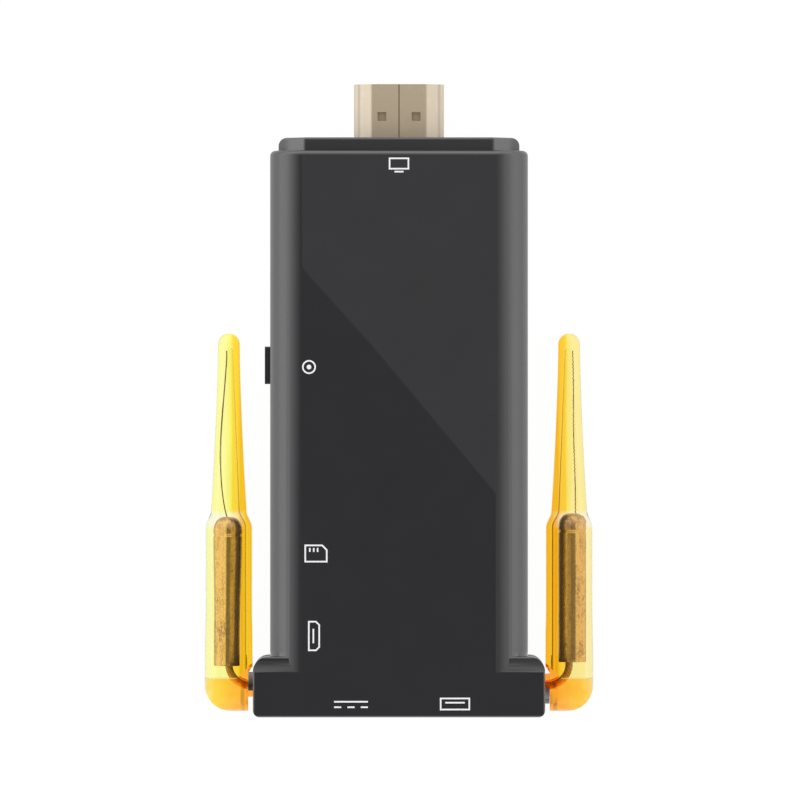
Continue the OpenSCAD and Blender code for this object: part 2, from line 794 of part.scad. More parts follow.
module button_pocket() {
    reach = button_flange_reach + 2 * slide_gap;
    box(
        [-inner_half, button_y - button_length / 2 - reach, button_z - button_height / 2 - reach],
        [-inner_half + rim_thickness + over, button_y + button_length / 2 + reach,
            button_z + button_height / 2 + reach]
    );
}

module collar_groove() {
    along_y(
        case_end_y - collar_skirt / 2 - collar_rib / 2 - shell_gap,
        case_end_y - collar_skirt / 2 + collar_rib / 2 + shell_gap
    ) case_section(wall - collar_rib_height);
}

module screw_posts(radius, low, high) {
    for (p = screw_places) translate([p.x, p.y, low]) cylinder(r = radius, h = high - low);
}

// Shells
module top_cover() {
    color("#38373a") difference() {
        union() {
            difference() {
                intersection() {
                    case_block();
                    box(
                        [-bar_half - over, foot_y - over, parting_height],
                        [bar_half + over, case_end_y + over, case_thickness + over]
                    );
                }
                case_hollow();
            }
            locating_rim();
            intersection() {
                screw_posts(front_post / 2, board_top, case_thickness);
                along_y(foot_y, case_end_y) case_section(wall - root);
            }
            spacer_lug(-1, left_lug);
            spacer_lug(1, right_lug);
        }
        port_openings();
        button_pocket();
        hinge_bores();
        collar_groove();
        screw_posts(screw_diameter / 2 + screw_gap / 2, board_top - over, screw_tip_z + screw_tip_room);
    }
}

module vent_row() {
    for (k = [0:vent_slots - 1])
        translate([0, sink_place.y + (k - (vent_slots - 1) / 2) * vent_pitch, -over])
            linear_extrude(wall + 2 * over) {
                square([vent_length - vent_width, vent_width], center = true);
                for (s = [-1, 1])
                    translate([s * (vent_length - vent_width) / 2, 0]) circle(vent_width / 2);
            }
}

module stop_ribs() {
    half = (hub_flange + hub_clearance) * tan(stop_rib_angle / 2);
    near = bar_inner_half - hub_flange_thickness - 2 * axial_gap;
    for (s = [-1, 1]) box(
        [s > 0 ? near : -bar_inner_half - root, hinge_y - half, wall - root],
        [s > 0 ? bar_inner_half + root : -near, hinge_y + half, hinge_z - hub_flange - hub_clearance]
    );
}

module bottom_cover() {
    color("#2f2e31") difference() {
        union() {
            difference() {
                intersection() {
                    case_block();
                    box(
                        [-bar_half - over, foot_y - over, -over],
                        [bar_half + over, case_end_y + over, parting_height]
                    );
                }
                case_hollow();
            }
            screw_posts(rear_post / 2, wall - root, board_height);
            stop_ribs();
        }
        port_openings();
        hinge_bores();
        collar_groove();
        vent_row();
        screw_posts(screw_hole, -over, board_height + over);
        screw_posts(screw_head / 2 + screw_gap, -over, screw_seat_z);
    }
}

// The collar's section: the case's own, with slopes in place of its front roundings
module collar_section(inset) {
    half = case_half - inset;
    front = case_thickness - inset;
    intersection() {
        case_section(inset);
        offset(r = collar_bend) offset(delta = -collar_bend) polygon([
            [-half, 0], [half, 0],
            [half, front - collar_slope_height], [half - collar_slope_width, front],
            [collar_slope_width - half, front], [-half, front - collar_slope_height]
        ]);
    }
}

module plug_collar() {
    inset = wall + shell_gap;
    skirt_y = case_end_y - collar_skirt;
    rib_y = case_end_y - collar_skirt / 2;
    color("#333335") difference() {
        union() {
            intersection() {
                hull() {
                    along_y(skirt_y, collar_end_y - collar_bevel) collar_section(inset);
                    along_y(skirt_y, collar_end_y) collar_section(inset + collar_bevel);
                }
                linear_extrude(case_thickness) soft_rect(
                    case_half - inset, foot_y, collar_end_y, collar_corner, collar_corner
                );
            }
            along_y(skirt_y, case_end_y) case_section(inset);
            along_y(rib_y - collar_rib / 2, rib_y + collar_rib / 2)
                case_section(inset - collar_rib_height);
        }
        along_y(skirt_y - over, collar_end_y - collar_plate) collar_section(inset + collar_wall);
        along_y(skirt_y - over, collar_end_y + over)
            translate([0, plug_z]) offset(delta = port_gap / 2) plug_outline();
    }
}

module case_screws() {
    color("#55565a") for (p = screw_places) translate([p.x, p.y, 0]) difference() {
        union() {
            translate([0, 0, screw_sink]) cylinder(r = screw_head / 2, h = screw_head_height);
            translate([0, 0, screw_seat_z - root])
                cylinder(r = screw_diameter / 2, h = screw_length + root);
        }
        for (a = [0, 90]) rotate(a) translate([0, 0, screw_sink])
            cube([recess_span, recess_width, 2 * recess_depth], center = true);
    }
}

// Board and what stands on it
module main_board() {
    notch = button_length / 2 + button_flange_reach + 2 * slide_gap;
    color("#1d5a36") difference() {
        translate([0, 0, board_height]) linear_extrude(board_thickness)
            soft_rect(board_half, board_foot_y, board_end_y, board_corner, board_corner);
        screw_posts(screw_hole, board_height - over, board_top + over);
        box(
            [-board_half - over, button_y - notch, board_height - over],
            [flange_inner_x + button_travel + 2 * slide_gap, button_y + notch, board_top + over]
        );
    }
}

// A block that stands on the given height round its place
module slab(place, size, low, height) {
    translate([place.x, place.y, low]) linear_extrude(height) square(size, center = true);
}

// A chip with a shallow round mark in one corner of both faces
module chip(place, size, low, height) {
    difference() {
        slab(place, size, low, height);
        for (z = [low, low + height])
            translate([place.x - size.x / 2 + chip_mark_inset, place.y + size.y / 2 - chip_mark_inset, z])
                cylinder(r = chip_mark, h = 2 * chip_mark_depth, center = true);
    }
}

module processor() {
    color("#222326")
        chip(sink_place, [processor_size, processor_size], board_top, processor_height);
}

module memory_chips() {
    color("#26272a") for (p = memory_places)
        chip(p, [memory_width, memory_length], board_height - chip_height, chip_height);
}

module flash_chip() {
    color("#26272a") chip(flash_place, [flash_width, flash_length], board_top, chip_height);
}

module power_chip() {
    color("#26272a")
        chip(power_chip_place, [power_chip_size, power_chip_size], board_top, chip_height);
}

module crystal() {
    color("#b9bbbf")
        slab(crystal_place, [crystal_length, crystal_width], board_top, crystal_height);
}

module chokes() {
    color("#4a4a4c") for (p = choke_places) {
        slab(p, [choke_size, choke_size], board_top, choke_base);
        translate([p.x, p.y, board_top]) cylinder(r = choke_size / 2 - choke_step, h = choke_height);
    }
}

module capacitors() {
    color("#9c8258") for (p = capacitor_places)
        slab(p, [capacitor_length, capacitor_width], board_top, capacitor_width);
}

module thermal_pad() {
    color("#8fa3b5") slab(sink_place, [processor_size, processor_size], pad_z, pad_thickness);
}

module heat_sink() {
    pitch = (sink_width - sink_fin) / (sink_fins - 1);
    color("#b4b8bc") {
        slab(sink_place, [sink_width, sink_length], sink_z, sink_base);
        for (k = [0:sink_fins - 1]) slab(
            sink_place + [(k - (sink_fins - 1) / 2) * pitch, 0],
            [sink_fin, sink_length], sink_z, sink_base + sink_fin_height
        );
    }
}

module wireless_module() {
    lid = 0.3;
    color("#c3c5c8") {
        slab(module_place, [module_size, module_size], board_top, module_height - lid);
        slab(
            module_place, [module_size - 2 * lid, module_size - 2 * lid],
            board_top, module_height
        );
    }
}

// Video plug
module plug_outline() {
    half = plug_width / 2;
    narrow = plug_narrow_width / 2;
    low = -plug_thickness / 2;
    high = plug_thickness / 2;
    offset(r = plug_bend) offset(delta = -plug_bend) polygon([
        [-half, low], [half, low], [half, low + plug_side_height],
        [narrow, high], [-narrow, high], [-half, low + plug_side_height]
    ]);
}

module video_plug_shell() {
    seam = 0.14;
    color("#c0b092") difference() {
        along_y(plug_seat_y, plug_tip_y) translate([0, plug_z]) difference() {
            plug_outline();
            offset(delta = -plug_sheet) plug_outline();
        }
        for (s = [-1, 1]) translate([s * latch_spacing / 2, plug_tip_y - latch_setback, plug_z])
            cube([latch_hole, latch_hole, plug_thickness + 2 * over], center = true);
        box(
            [-seam / 2, plug_seat_y - over, plug_z + plug_thickness / 2 - plug_sheet / 2],
            [seam / 2, plug_tip_y + over, plug_z + plug_thickness / 2 + over]
        );
    }
}

module video_plug_body() {
    last = plug_tip_y - plug_body_setback;
    color("#2c2b2a") along_y(plug_seat_y, last) translate([0, plug_z]) difference() {
        offset(delta = -plug_sheet - press_gap) plug_outline();
        square([plug_slot_width, plug_slot], center = true);
    }
}

module video_plug_contacts() {
    color("#d8b45a") for (row = [0, 1]) {
        count = plug_contacts - row;
        for (k = [0:count - 1]) {
            x = (k - (count - 1) / 2) * plug_contact_pitch;
            z = row == 0 ? plug_z - plug_slot / 2 : plug_z + plug_slot / 2 - contact_sheet;
            box(
                [x - plug_contact_width / 2, plug_seat_y - plug_contact_tail, z],
                [x + plug_contact_width / 2, plug_tip_y - plug_contact_setback, z + contact_sheet]
            );
        }
    }
}

// Data socket, open at the foot
module data_socket_shell() {
    color("#c6c8cb") along_y(data_mouth_y, data_back_y)
        translate([data_x, board_top + data_outer_height / 2]) difference() {
            square([data_outer_width, data_outer_height], center = true);
            square([data_clear_width, data_clear_height], center = true);
        }
}

module data_socket_tongue() {
    half = data_clear_width / 2 - press_gap;
    low = board_top + data_sheet + press_gap;
    high = board_top + data_sheet + data_clear_height - press_gap;
    tongue_half = data_tongue_width / 2;
    color("#e8e8e6") {
        box([data_x - half, data_back_y - data_block, low], [data_x + half, data_back_y, high]);
        box(
            [data_x - tongue_half, data_mouth_y + data_tongue_setback, data_tongue_z],
            [data_x + tongue_half, data_back_y - data_block + root, data_tongue_z + data_tongue]
        );
    }
}

module data_socket_contacts() {
    first = data_mouth_y + data_tongue_setback + data_contact_setback;
    color("#d8b45a") for (k = [0:data_contacts - 1]) {
        x = data_x + (k - (data_contacts - 1) / 2) * data_contact_pitch;
        box(
            [x - data_contact_width / 2, first, data_tongue_z - contact_sheet],
            [x + data_contact_width / 2, data_back_y - data_block, data_tongue_z]
        );
    }
}

// Small sockets, drawn open towards -Y with their floor at zero
module small_outline() {
    half = small_width / 2;
    polygon([
        [-half + small_corner, 0], [half - small_corner, 0], [half, small_corner],
        [half, small_height], [-half, small_height], [-half, small_corner]
    ]);
}

module small_shell() {
    color("#c6c8cb") along_y(0, small_depth) difference() {
        small_outline();
        offset(delta = -small_sheet) small_outline();
    }
}

module small_tongue_piece() {
    color("#2a2a2c") {
        along_y(small_depth - small_block, small_depth) offset(delta = -small_sheet - press_gap)
            small_outline();
        box(
            [-small_tongue_width / 2, small_tongue_setback, small_tongue_z],
            [small_tongue_width / 2, small_depth - small_block + root, small_tongue_z + small_tongue]
        );
    }
}

module small_contact_row() {
    first = small_tongue_setback + small_contact_setback;
    color("#d8b45a") for (k = [0:small_contacts - 1]) {
        x = (k - (small_contacts - 1) / 2) * small_contact_pitch;
        box(
            [x - small_contact_width / 2, first, small_tongue_z - contact_sheet],
            [x + small_contact_width / 2, small_depth - small_block, small_tongue_z]
        );
    }
}

module at_power_socket() {
    translate([power_x, foot_y + socket_recess, board_top]) children();
}

module at_side_socket() {
    translate([-case_half + socket_recess, side_socket_y, board_top]) rotate(-90) children();
}

module power_socket_shell() {
    at_power_socket() small_shell();
}

module power_socket_tongue() {
    at_power_socket() small_tongue_piece();
}

module power_socket_contacts() {
    at_power_socket() small_contact_row();
}

module side_socket_shell() {
    at_side_socket() small_shell();
}

module side_socket_tongue() {
    at_side_socket() small_tongue_piece();
}

module side_socket_contacts() {
    at_side_socket() small_contact_row();
}

// Card socket, open towards -X
module card_socket_base() {
    half = card_base_width / 2;
    clear = card_clear_width / 2;
    color("#2a2a2c") difference() {
        box(
            [card_mouth_x, card_y - half, board_top],
            [card_mouth_x + card_base_depth, card_y + half, board_top + card_height - card_cover]
        );
        box(
            [card_mouth_x - over, card_y - clear, board_top + card_floor],
            [card_mouth_x + card_base_depth - card_back_wall, card_y + clear,
                board_top + card_height + over]
        );
    }
}

module card_socket_cover() {
    half = card_base_width / 2;
    color("#c6c8cb") difference() {
        box(
            [card_mouth_x, card_y - half, board_top + card_height - card_cover],
            [card_mouth_x + card_base_depth, card_y + half, board_top + card_height]
        );
        translate([card_mouth_x, card_y, board_top])
            cylinder(r = card_notch, h = card_height + over);
    }
}

module card_socket_contacts() {
    last = card_mouth_x + card_base_depth - card_back_wall;
    color("#d8b45a") for (k = [0:card_contacts - 1]) {
        y = card_y + (k - (card_contacts - 1) / 2) * card_contact_pitch;
        box(
            [last - card_contact_length, y - card_contact_width / 2, board_top + card_floor],
            [last, y + card_contact_width / 2, board_top + card_floor + contact_sheet]
        );
    }
}

// Function button and switch
module button_plate(length, height, low, high) {
    translate([0, button_y, 0]) along_x(low, high)
        soft_rect(length / 2, button_z - height / 2, button_z + height / 2, button_corner, button_corner);
}

module fn_button() {
    reach = 2 * button_flange_reach;
    color("#29292b") {
        button_plate(button_length, button_height, -case_half - button_proud, flange_inner_x);
        button_plate(
            button_length + reach, button_height + reach, flange_outer_x, flange_inner_x
        );
    }
}

module fn_switch_body() {
    color("#d9d9d6") difference() {
        box(
            [switch_x, button_y - switch_width / 2, board_top],
            [switch_x + switch_depth, button_y + switch_width / 2, board_top + switch_height]
        );
        box(
            [switch_x - over, button_y - plunger_width / 2 - slide_gap,
                button_z - plunger_height / 2 - slide_gap],
            [pocket_end_x, button_y + plunger_width / 2 + slide_gap,
                button_z + plunger_height / 2 + slide_gap]
        );
    }
}

module fn_switch_plunger() {
    color("#6b6b6b") box(
        [flange_inner_x + press_gap, button_y - plunger_width / 2, button_z - plunger_height / 2],
        [plunger_end_x, button_y + plunger_width / 2, button_z + plunger_height / 2]
    );
}

// Antennas, drawn upright on the hinge axis with the case towards -X
function taper_at(t) = tip_radius + (taper_radius - tip_radius) * pow(t, taper_swell);

module antenna_outline() {
    polygon(concat(
        [[0, -knuckle_drop - over], [tube_radius, -knuckle_drop - over], [tube_radius, hinge_up],
            [tube_shoulder_radius, tube_shoulder_up / 2]],
        [for (k = [0:shoulder_steps]) let (a = 90 * k / shoulder_steps) [
            taper_radius + (tube_shoulder_radius - taper_radius) * cos(a),
            tube_shoulder_up + tube_shoulder_height * sin(a)
        ]],
        [for (k = [1:taper_steps]) [
            taper_at(1 - k / taper_steps),
            taper_start_up + (tip_up - taper_start_up) * k / taper_steps
        ]],
        [[0, tip_up]]
    ));
    intersection() {
        translate([0, tip_up]) circle(tip_radius);
        translate([0, tip_up - over]) square([tip_radius + over, tip_radius + 2 * over]);
    }
}

module bore_outline() {
    bore_top = tube_shoulder_up + bore_end_up;
    polygon([
        [0, -knuckle_drop - 2 * over], [bore_radius, -knuckle_drop - 2 * over],
        [bore_radius, bore_top], [taper_bore_low, bore_top + bore_radius - taper_bore_low],
        [taper_bore_high, antenna_reach - tip_plug], [0, antenna_reach - tip_plug]
    ]);
}

// Everything below the seam, drawn in plan with the case towards -X
module below_seam() {
    polygon([
        [across, -across], [across, seam_up], [-ear_start, seam_up],
        [-ear_start - ear_rise, seam_up + ear_rise], [-across, seam_up + ear_rise],
        [-across, -across]
    ]);
}

module seam_cutter() {
    translate([0, 0, -across]) linear_extrude(2 * across) below_seam();
}

// Room for the bar's side and the spacer lug
module hinge_room() {
    flat = bar_half + flat_gap - antenna_x;
    face = knuckle_face_x - antenna_x;
    box([-across, -across, -across], [flat, antenna_reach, across]);
    rod_x(lug_radius + 2 * axial_gap, -across, face);
    box([-across, -across, -across], [face, 0, across]);
}

module antenna_tube() {
    color("#f5b52e", 0.6) difference() {
        rotate([-90, 0, 0]) rotate_extrude() antenna_outline();
        rotate([-90, 0, 0]) rotate_extrude() bore_outline();
        seam_cutter();
        hinge_room();
    }
}

module lead_path(radius, top) {
    translate([-lead_bend, lead_bend, 0]) rotate([0, 0, -90])
        rotate_extrude(angle = 90) translate([lead_bend, 0]) circle(radius);
    translate([hub_inner_x - antenna_x, 0, 0])
        rotate([0, 90, 0]) cylinder(r = radius, h = antenna_x - hub_inner_x - lead_bend);
    translate([0, lead_bend, 0]) rotate([-90, 0, 0]) cylinder(r = radius, h = top - lead_bend);
}

// The knuckle's outline seen from the front: only its outer lower corner is round
module knuckle_outline() {
    translate([tube_radius - knuckle_corner, knuckle_corner - knuckle_drop]) circle(knuckle_corner);
    translate([-across, -knuckle_drop]) square([across + tube_radius - knuckle_corner, across]);
    translate([-across, knuckle_corner - knuckle_drop]) square([across + tube_radius, across]);
}

module antenna_knuckle() {
    inner = hub_inner_x - antenna_x;
    color("#f09a1c", 0.7) difference() {
        union() {
            difference() {
                intersection() {
                    rotate([-90, 0, 0]) translate([0, 0, -across])
                        cylinder(r = tube_radius, h = 2 * across);
                    union() {
                        rod_x(knuckle_drop, -across, across);
                        box([-across, 0, -across], [across, across, across]);
                    }
                    translate([0, 0, -across]) linear_extrude(2 * across) knuckle_outline();
                    seam_cutter();
                }
                hinge_room();
            }
            rod_x(hub_radius, inner, knuckle_face_x - antenna_x + root);
            rod_x(hub_flange, inner, inner + hub_flange_thickness);
            along_x(inner, inner + hub_flange_thickness)
                sector(stop_radius, stop_from, stop_from + stop_sector);
        }
        lead_path(lead_channel, across);
        rod_x(lead_channel, inner - over, inner + over);
    }
}

// The sleeve is closed to a dome at its far end, with a hole for the wire
module antenna_sleeve() {
    straight = sleeve_top_up - sleeve_dome;
    color("#b58a45") rotate([-90, 0, 0]) rotate_extrude() difference() {
        union() {
            translate([0, sleeve_up]) square([sleeve_radius, straight - sleeve_up]);
            intersection() {
                translate([0, straight]) square([sleeve_radius, sleeve_dome]);
                translate([sleeve_radius - sleeve_dome, straight]) circle(sleeve_dome);
            }
            translate([0, straight]) square([sleeve_radius - sleeve_dome, sleeve_dome]);
        }
        translate([-over, sleeve_up - over])
            square([over + sleeve_radius - sleeve_wall, straight - sleeve_up + over]);
        translate([-over, straight - over])
            square([over + lead_radius + shell_gap, sleeve_dome + 2 * over]);
    }
}

// The wire is an arc between its two ends, bowed away from the case
module antenna_wire(bow) {
    chord = wire_high_up - wire_low_up;
    radius = (chord * chord / 4 + bow * bow) / (2 * bow);
    angle = 2 * asin(chord / 2 / radius);
    color("#8a6a2c") translate([bow - radius, (wire_low_up + wire_high_up) / 2, 0])
        rotate([0, 0, -angle / 2])
            rotate_extrude(angle = angle) translate([radius, 0]) circle(wire_radius);
}

module antenna_lead() {
    color("#8a5f2a") lead_path(lead_radius, lead_top_up);
}

module at_antenna(s) {
    translate([0, hinge_y, hinge_z]) mirror([s > 0 ? 0 : 1, 0, 0]) translate([antenna_x, 0, 0])
        children();
}

module left_antenna_tube() {
    at_antenna(-1) antenna_tube();
}

module left_antenna_knuckle() {
    at_antenna(-1) antenna_knuckle();
}

module left_antenna_sleeve() {
    at_antenna(-1) antenna_sleeve();
}

module left_antenna_wire() {
    at_antenna(-1) antenna_wire(left_wire_bow);
}

module left_antenna_lead() {
    at_antenna(-1) antenna_lead();
}

module right_antenna_tube() {
    at_antenna(1) antenna_tube();
}

module right_antenna_knuckle() {
    at_antenna(1) antenna_knuckle();
}

module right_antenna_sleeve() {
    at_antenna(1) antenna_sleeve();
}

module right_antenna_wire() {
    at_antenna(1) antenna_wire(right_wire_bow);
}

module right_antenna_lead() {
    at_antenna(1) antenna_lead();
}

// Feed cables, swept along their routes through smooth curves
function unit(v) = v / norm(v);

function curve_point(a, b, c, d, t) = 0.5 * (
    2 * b + (c - a) * t + (2 * a - 5 * b + 4 * c - d) * t * t + (3 * b - a - 3 * c + d) * t * t * t
);

function smooth_route(p, steps) = let (n = len(p)) concat(
    [for (i = [0:n - 2]) for (k = [0:steps - 1]) curve_point(
        i > 0 ? p[i - 1] : 2 * p[0] - p[1], p[i], p[i + 1],
        i < n - 2 ? p[i + 2] : 2 * p[n - 1] - p[n - 2], k / steps
    )],
    [p[n - 1]]
);

module swept_cable(route, radius) {
    path = smooth_route(route, cable_steps);
    n = len(path);
    m = cable_sides;
    ways = [for (i = [0:n - 1]) unit(path[min(i + 1, n - 1)] - path[max(i - 1, 0)])];
    rings = [for (i = [0:n - 1])
        let (side = unit(cross(ways[i], [0, 0, 1])), up = cross(side, ways[i]))
            for (k = [0:m - 1]) path[i] + radius * (cos(360 * k / m) * side + sin(360 * k / m) * up)
    ];
    faces = concat(
        [[for (k = [0:m - 1]) k]],
        [for (i = [0:n - 2]) for (k = [0:m - 1]) [i * m + k, (i + 1) * m + k, (i + 1) * m + (k + 1) % m]],
        [for (i = [0:n - 2]) for (k = [0:m - 1])
            [i * m + k, (i + 1) * m + (k + 1) % m, i * m + (k + 1) % m]],
        [[for (k = [m - 1:-1:0]) (n - 1) * m + k]]
    );
    color("#3a3a3c") polyhedron(rings, faces);
}

module left_feed_cable() {
    swept_cable(left_route, lead_radius);
}

module right_feed_cable() {
    swept_cable(right_route, lead_radius);
}

top_cover();
bottom_cover();
plug_collar();
case_screws();
main_board();
processor();
memory_chips();
flash_chip();
power_chip();
crystal();
chokes();
capacitors();
thermal_pad();
heat_sink();
wireless_module();
video_plug_shell();
video_plug_body();
video_plug_contacts();
data_socket_shell();
data_socket_tongue();
data_socket_contacts();
power_socket_shell();
power_socket_tongue();
power_socket_contacts();
side_socket_shell();
side_socket_tongue();
side_socket_contacts();
card_socket_base();
card_socket_cover();
card_socket_contacts();
fn_button();
fn_switch_body();
fn_switch_plunger();
left_antenna_tube();
left_antenna_knuckle();
left_antenna_sleeve();
left_antenna_wire();
left_antenna_lead();
left_feed_cable();
right_antenna_tube();
right_antenna_knuckle();
right_antenna_sleeve();
right_antenna_wire();
right_antenna_lead();
right_feed_cable();
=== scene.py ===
"""Dresses the CAD frame of a slim streaming stick with two amber swivelling antennas.

The frame's pieces keep their shapes and get finishes made of shader nodes. The antenna tubes,
brass sleeves, fine wires, leads and printed marks are built here and ride on the frame's bodies.
"""

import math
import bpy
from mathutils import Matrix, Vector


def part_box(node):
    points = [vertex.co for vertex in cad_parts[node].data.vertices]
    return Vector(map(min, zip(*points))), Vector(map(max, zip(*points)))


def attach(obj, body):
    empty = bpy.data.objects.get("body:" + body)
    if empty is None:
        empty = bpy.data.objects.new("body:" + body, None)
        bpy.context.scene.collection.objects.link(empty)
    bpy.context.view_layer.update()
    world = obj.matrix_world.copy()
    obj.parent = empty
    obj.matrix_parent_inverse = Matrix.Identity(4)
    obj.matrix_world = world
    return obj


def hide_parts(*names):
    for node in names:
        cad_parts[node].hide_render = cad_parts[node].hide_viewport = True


bl_info = {
    "name": "Streaming Stick",
    "version": (1, 0, 0),
    "blender": (4, 5, 0),
    "location": "View3D > Sidebar > Stick",
    "description": "Finishes, antennas, printed marks and studio for a plug-in streaming stick",
    "category": "Add Mesh",
}

import bmesh
import bpy
from bpy.props import FloatProperty, FloatVectorProperty, IntProperty, PointerProperty
from bpy.types import Operator, Panel, PropertyGroup
from mathutils import Matrix, Vector, noise

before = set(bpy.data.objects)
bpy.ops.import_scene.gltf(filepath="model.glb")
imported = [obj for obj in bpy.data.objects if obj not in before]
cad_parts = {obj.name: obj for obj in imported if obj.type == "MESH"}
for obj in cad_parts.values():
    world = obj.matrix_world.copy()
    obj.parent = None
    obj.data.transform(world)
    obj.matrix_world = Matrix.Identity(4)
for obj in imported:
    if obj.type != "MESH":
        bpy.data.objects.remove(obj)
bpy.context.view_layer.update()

MM = 0.001
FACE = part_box("top_cover")[1].z
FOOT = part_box("top_cover")[0].y
CASE_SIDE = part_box("plug_collar")[1].x
PLUG_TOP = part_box("video_plug_shell")[1].z
TUBE_LOW, TUBE_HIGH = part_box("right_antenna_tube")
TUBE_RADIUS = (TUBE_HIGH.z - TUBE_LOW.z) / 2
TUBE_X = TUBE_HIGH.x - TUBE_RADIUS
SIDES = {"left": -1, "right": 1}

# The foot bar's upper edge, and the line of both hinges
BAR_TOP = FOOT + 9.3 * MM
HINGE_Y = FOOT + 4.75 * MM
HINGE_Z = (TUBE_LOW.z + TUBE_HIGH.z) / 2

# Places along an antenna, counted from its hinge
TUBE_FOOT = -5 * MM
WAIST_START, WAIST_END = 4.75 * MM, 12.1 * MM
SHOULDER_LOW, SHOULDER_HIGH = 24.2 * MM, 27 * MM
BORE_END = 52.3 * MM
SEAM = 1.1 * MM
SLEEVE_FOOT, SLEEVE_CRIMP, SLEEVE_DOME = 3.0 * MM, 23.2 * MM, 23.8 * MM
WIRE_START, WIRE_END = 25.4 * MM, 51.7 * MM
LEAD_START, LEAD_BEND = 24 * MM, 3.2 * MM


# Sizes and colours that a user would change


def length(name, description, default):
    """A length in metres for a property group."""
    return FloatProperty(
        name=name, description=description, default=default, min=0.0, precision=5, unit="LENGTH"
    )


def brightness(name, description, default):
    """A strength of light for a property group."""
    return FloatProperty(name=name, description=description, default=default, min=0.0)


def colour(name, description, default):
    """A linear colour for a property group."""
    return FloatVectorProperty(
        name=name, description=description, default=default,
        min=0.0, max=1.0, size=3, subtype="COLOR",
    )


class StickSizes(PropertyGroup):
    """Sizes of the pieces that are built here, in metres."""

    tube_radius: length("Tube radius", "Radius of an antenna tube beside the foot bar", TUBE_RADIUS)
    waist_radius: length("Waist radius", "Radius of the tube just below its shoulder", 3.6 * MM)
    taper_radius: length("Taper radius", "Radius of the taper above the shoulder", 2.77 * MM)
    tip_radius: length("Tip radius", "Radius of the rounded tip", 1.7 * MM)
    bore_radius: length("Bore radius", "Clear radius inside the tube", 2.5 * MM)
    antenna_reach: length(
        "Antenna reach", "Length of an antenna above its hinge", TUBE_HIGH.y - HINGE_Y
    )
    sleeve_radius: length("Sleeve radius", "Outer radius of the brass sleeve", 2.19 * MM)
    sleeve_wall: length("Sleeve wall", "Thickness of the brass sleeve", 0.3 * MM)
    wire_radius: length("Wire radius", "Radius of the fine radiating wire", 0.085 * MM)
    lead_radius: length("Lead radius", "Radius of the coaxial lead", 0.53 * MM)
    print_stroke: length("Print stroke", "Width of the printed lines", 0.24 * MM)
    print_height: length("Print height", "How far the ink stands on the face", 0.006 * MM)
    tube_sides: IntProperty(
        name="Tube sides", description="Faces round a turned piece", default=96, min=24, max=256
    )


class StickColours(PropertyGroup):
    """Colours of the finishes, as linear values."""

    front: colour("Front shell", "Glossy moulded plastic", (0.0225, 0.0222, 0.0245))
    rear: colour("Rear shell", "Fine matt moulded plastic", (0.024, 0.0237, 0.026))
    collar: colour("Collar", "Glossy moulded plastic", (0.0225, 0.0222, 0.0245))
    button: colour("Button", "Satin black plastic", (0.016, 0.016, 0.017))
    # Painted light and shade: the pale amber is the painted lit side away from the case, the deep
    # amber the painted shaded side towards it, and the middle amber lies between
    amber_lit_pale: colour("Amber, outer side", "Clear amber away from the case", (1.0, 0.98, 0.34))
    amber: colour("Amber, middle", "Clear amber along the middle line", (1.0, 0.94, 0.18))
    amber_deep: colour("Amber, inner side", "Clear amber towards the case", (1.0, 0.49, 0.006))
    # The knuckle tints paint the same light and shade: a painted lit side away from the case and a
    # painted shaded side towards it
    knuckle_lit_pale: colour("Knuckle, outer side", "Deep amber away from the case", (1.0, 0.86, 0.3))
    knuckle: colour("Knuckle, middle", "Deep amber along the middle line", (1.0, 0.57, 0.045))
    knuckle_deep_shaded: colour("Knuckle, inner side", "Deep amber towards the case", (1.0, 0.36, 0.03))
    brass: colour("Brass", "Aged rolled brass", (0.6, 0.37, 0.155))
    tarnish: colour("Tarnish", "Dull patches on the brass", (0.3, 0.18, 0.08))
    wire: colour("Wire", "Dull brass wire", (0.3, 0.15, 0.01))
    lead: colour("Lead", "Brown lead", (0.52, 0.32, 0.12))
    plug: colour("Plug shell", "Pale gold plating", (0.6, 0.485, 0.325))
    insulator: colour("Plug insulator", "Dull khaki plastic", (0.34, 0.27, 0.165))
    ink: colour("Ink", "White printed ink", (0.95, 0.95, 0.96))
    board: colour("Board", "Green lacquer", (0.012, 0.1, 0.035))


class StickStage(PropertyGroup):
    """The studio round the stick."""

    lens: FloatProperty(
        name="Lens", description="Focal length of the camera", default=0.4,
        unit="CAMERA", min=0.05, max=0.6,
    )
    view_width: length("View width", "Width that the picture spans at the front face", 123.08 * MM)
    horizon: brightness("Horizon", "Brightness of the studio's walls, low down", 1.75)
    fall_off: brightness("Fall-off", "How much less bright the right wall is", 0.25)
    zenith: brightness("Zenith", "Brightness straight above the stick", 0.1)
    sheen: brightness("Sheen", "Brightness of the card mirrored in the face", 0.13)


# Shader nodes


def math_node(operation, *terms):
    """Adds a Math node to the tree of the first wrapped socket among the terms."""
    paint = next(t.paint for t in terms if isinstance(t, Socket))
    return paint.add("ShaderNodeMath", {"operation": operation}, dict(enumerate(terms)))


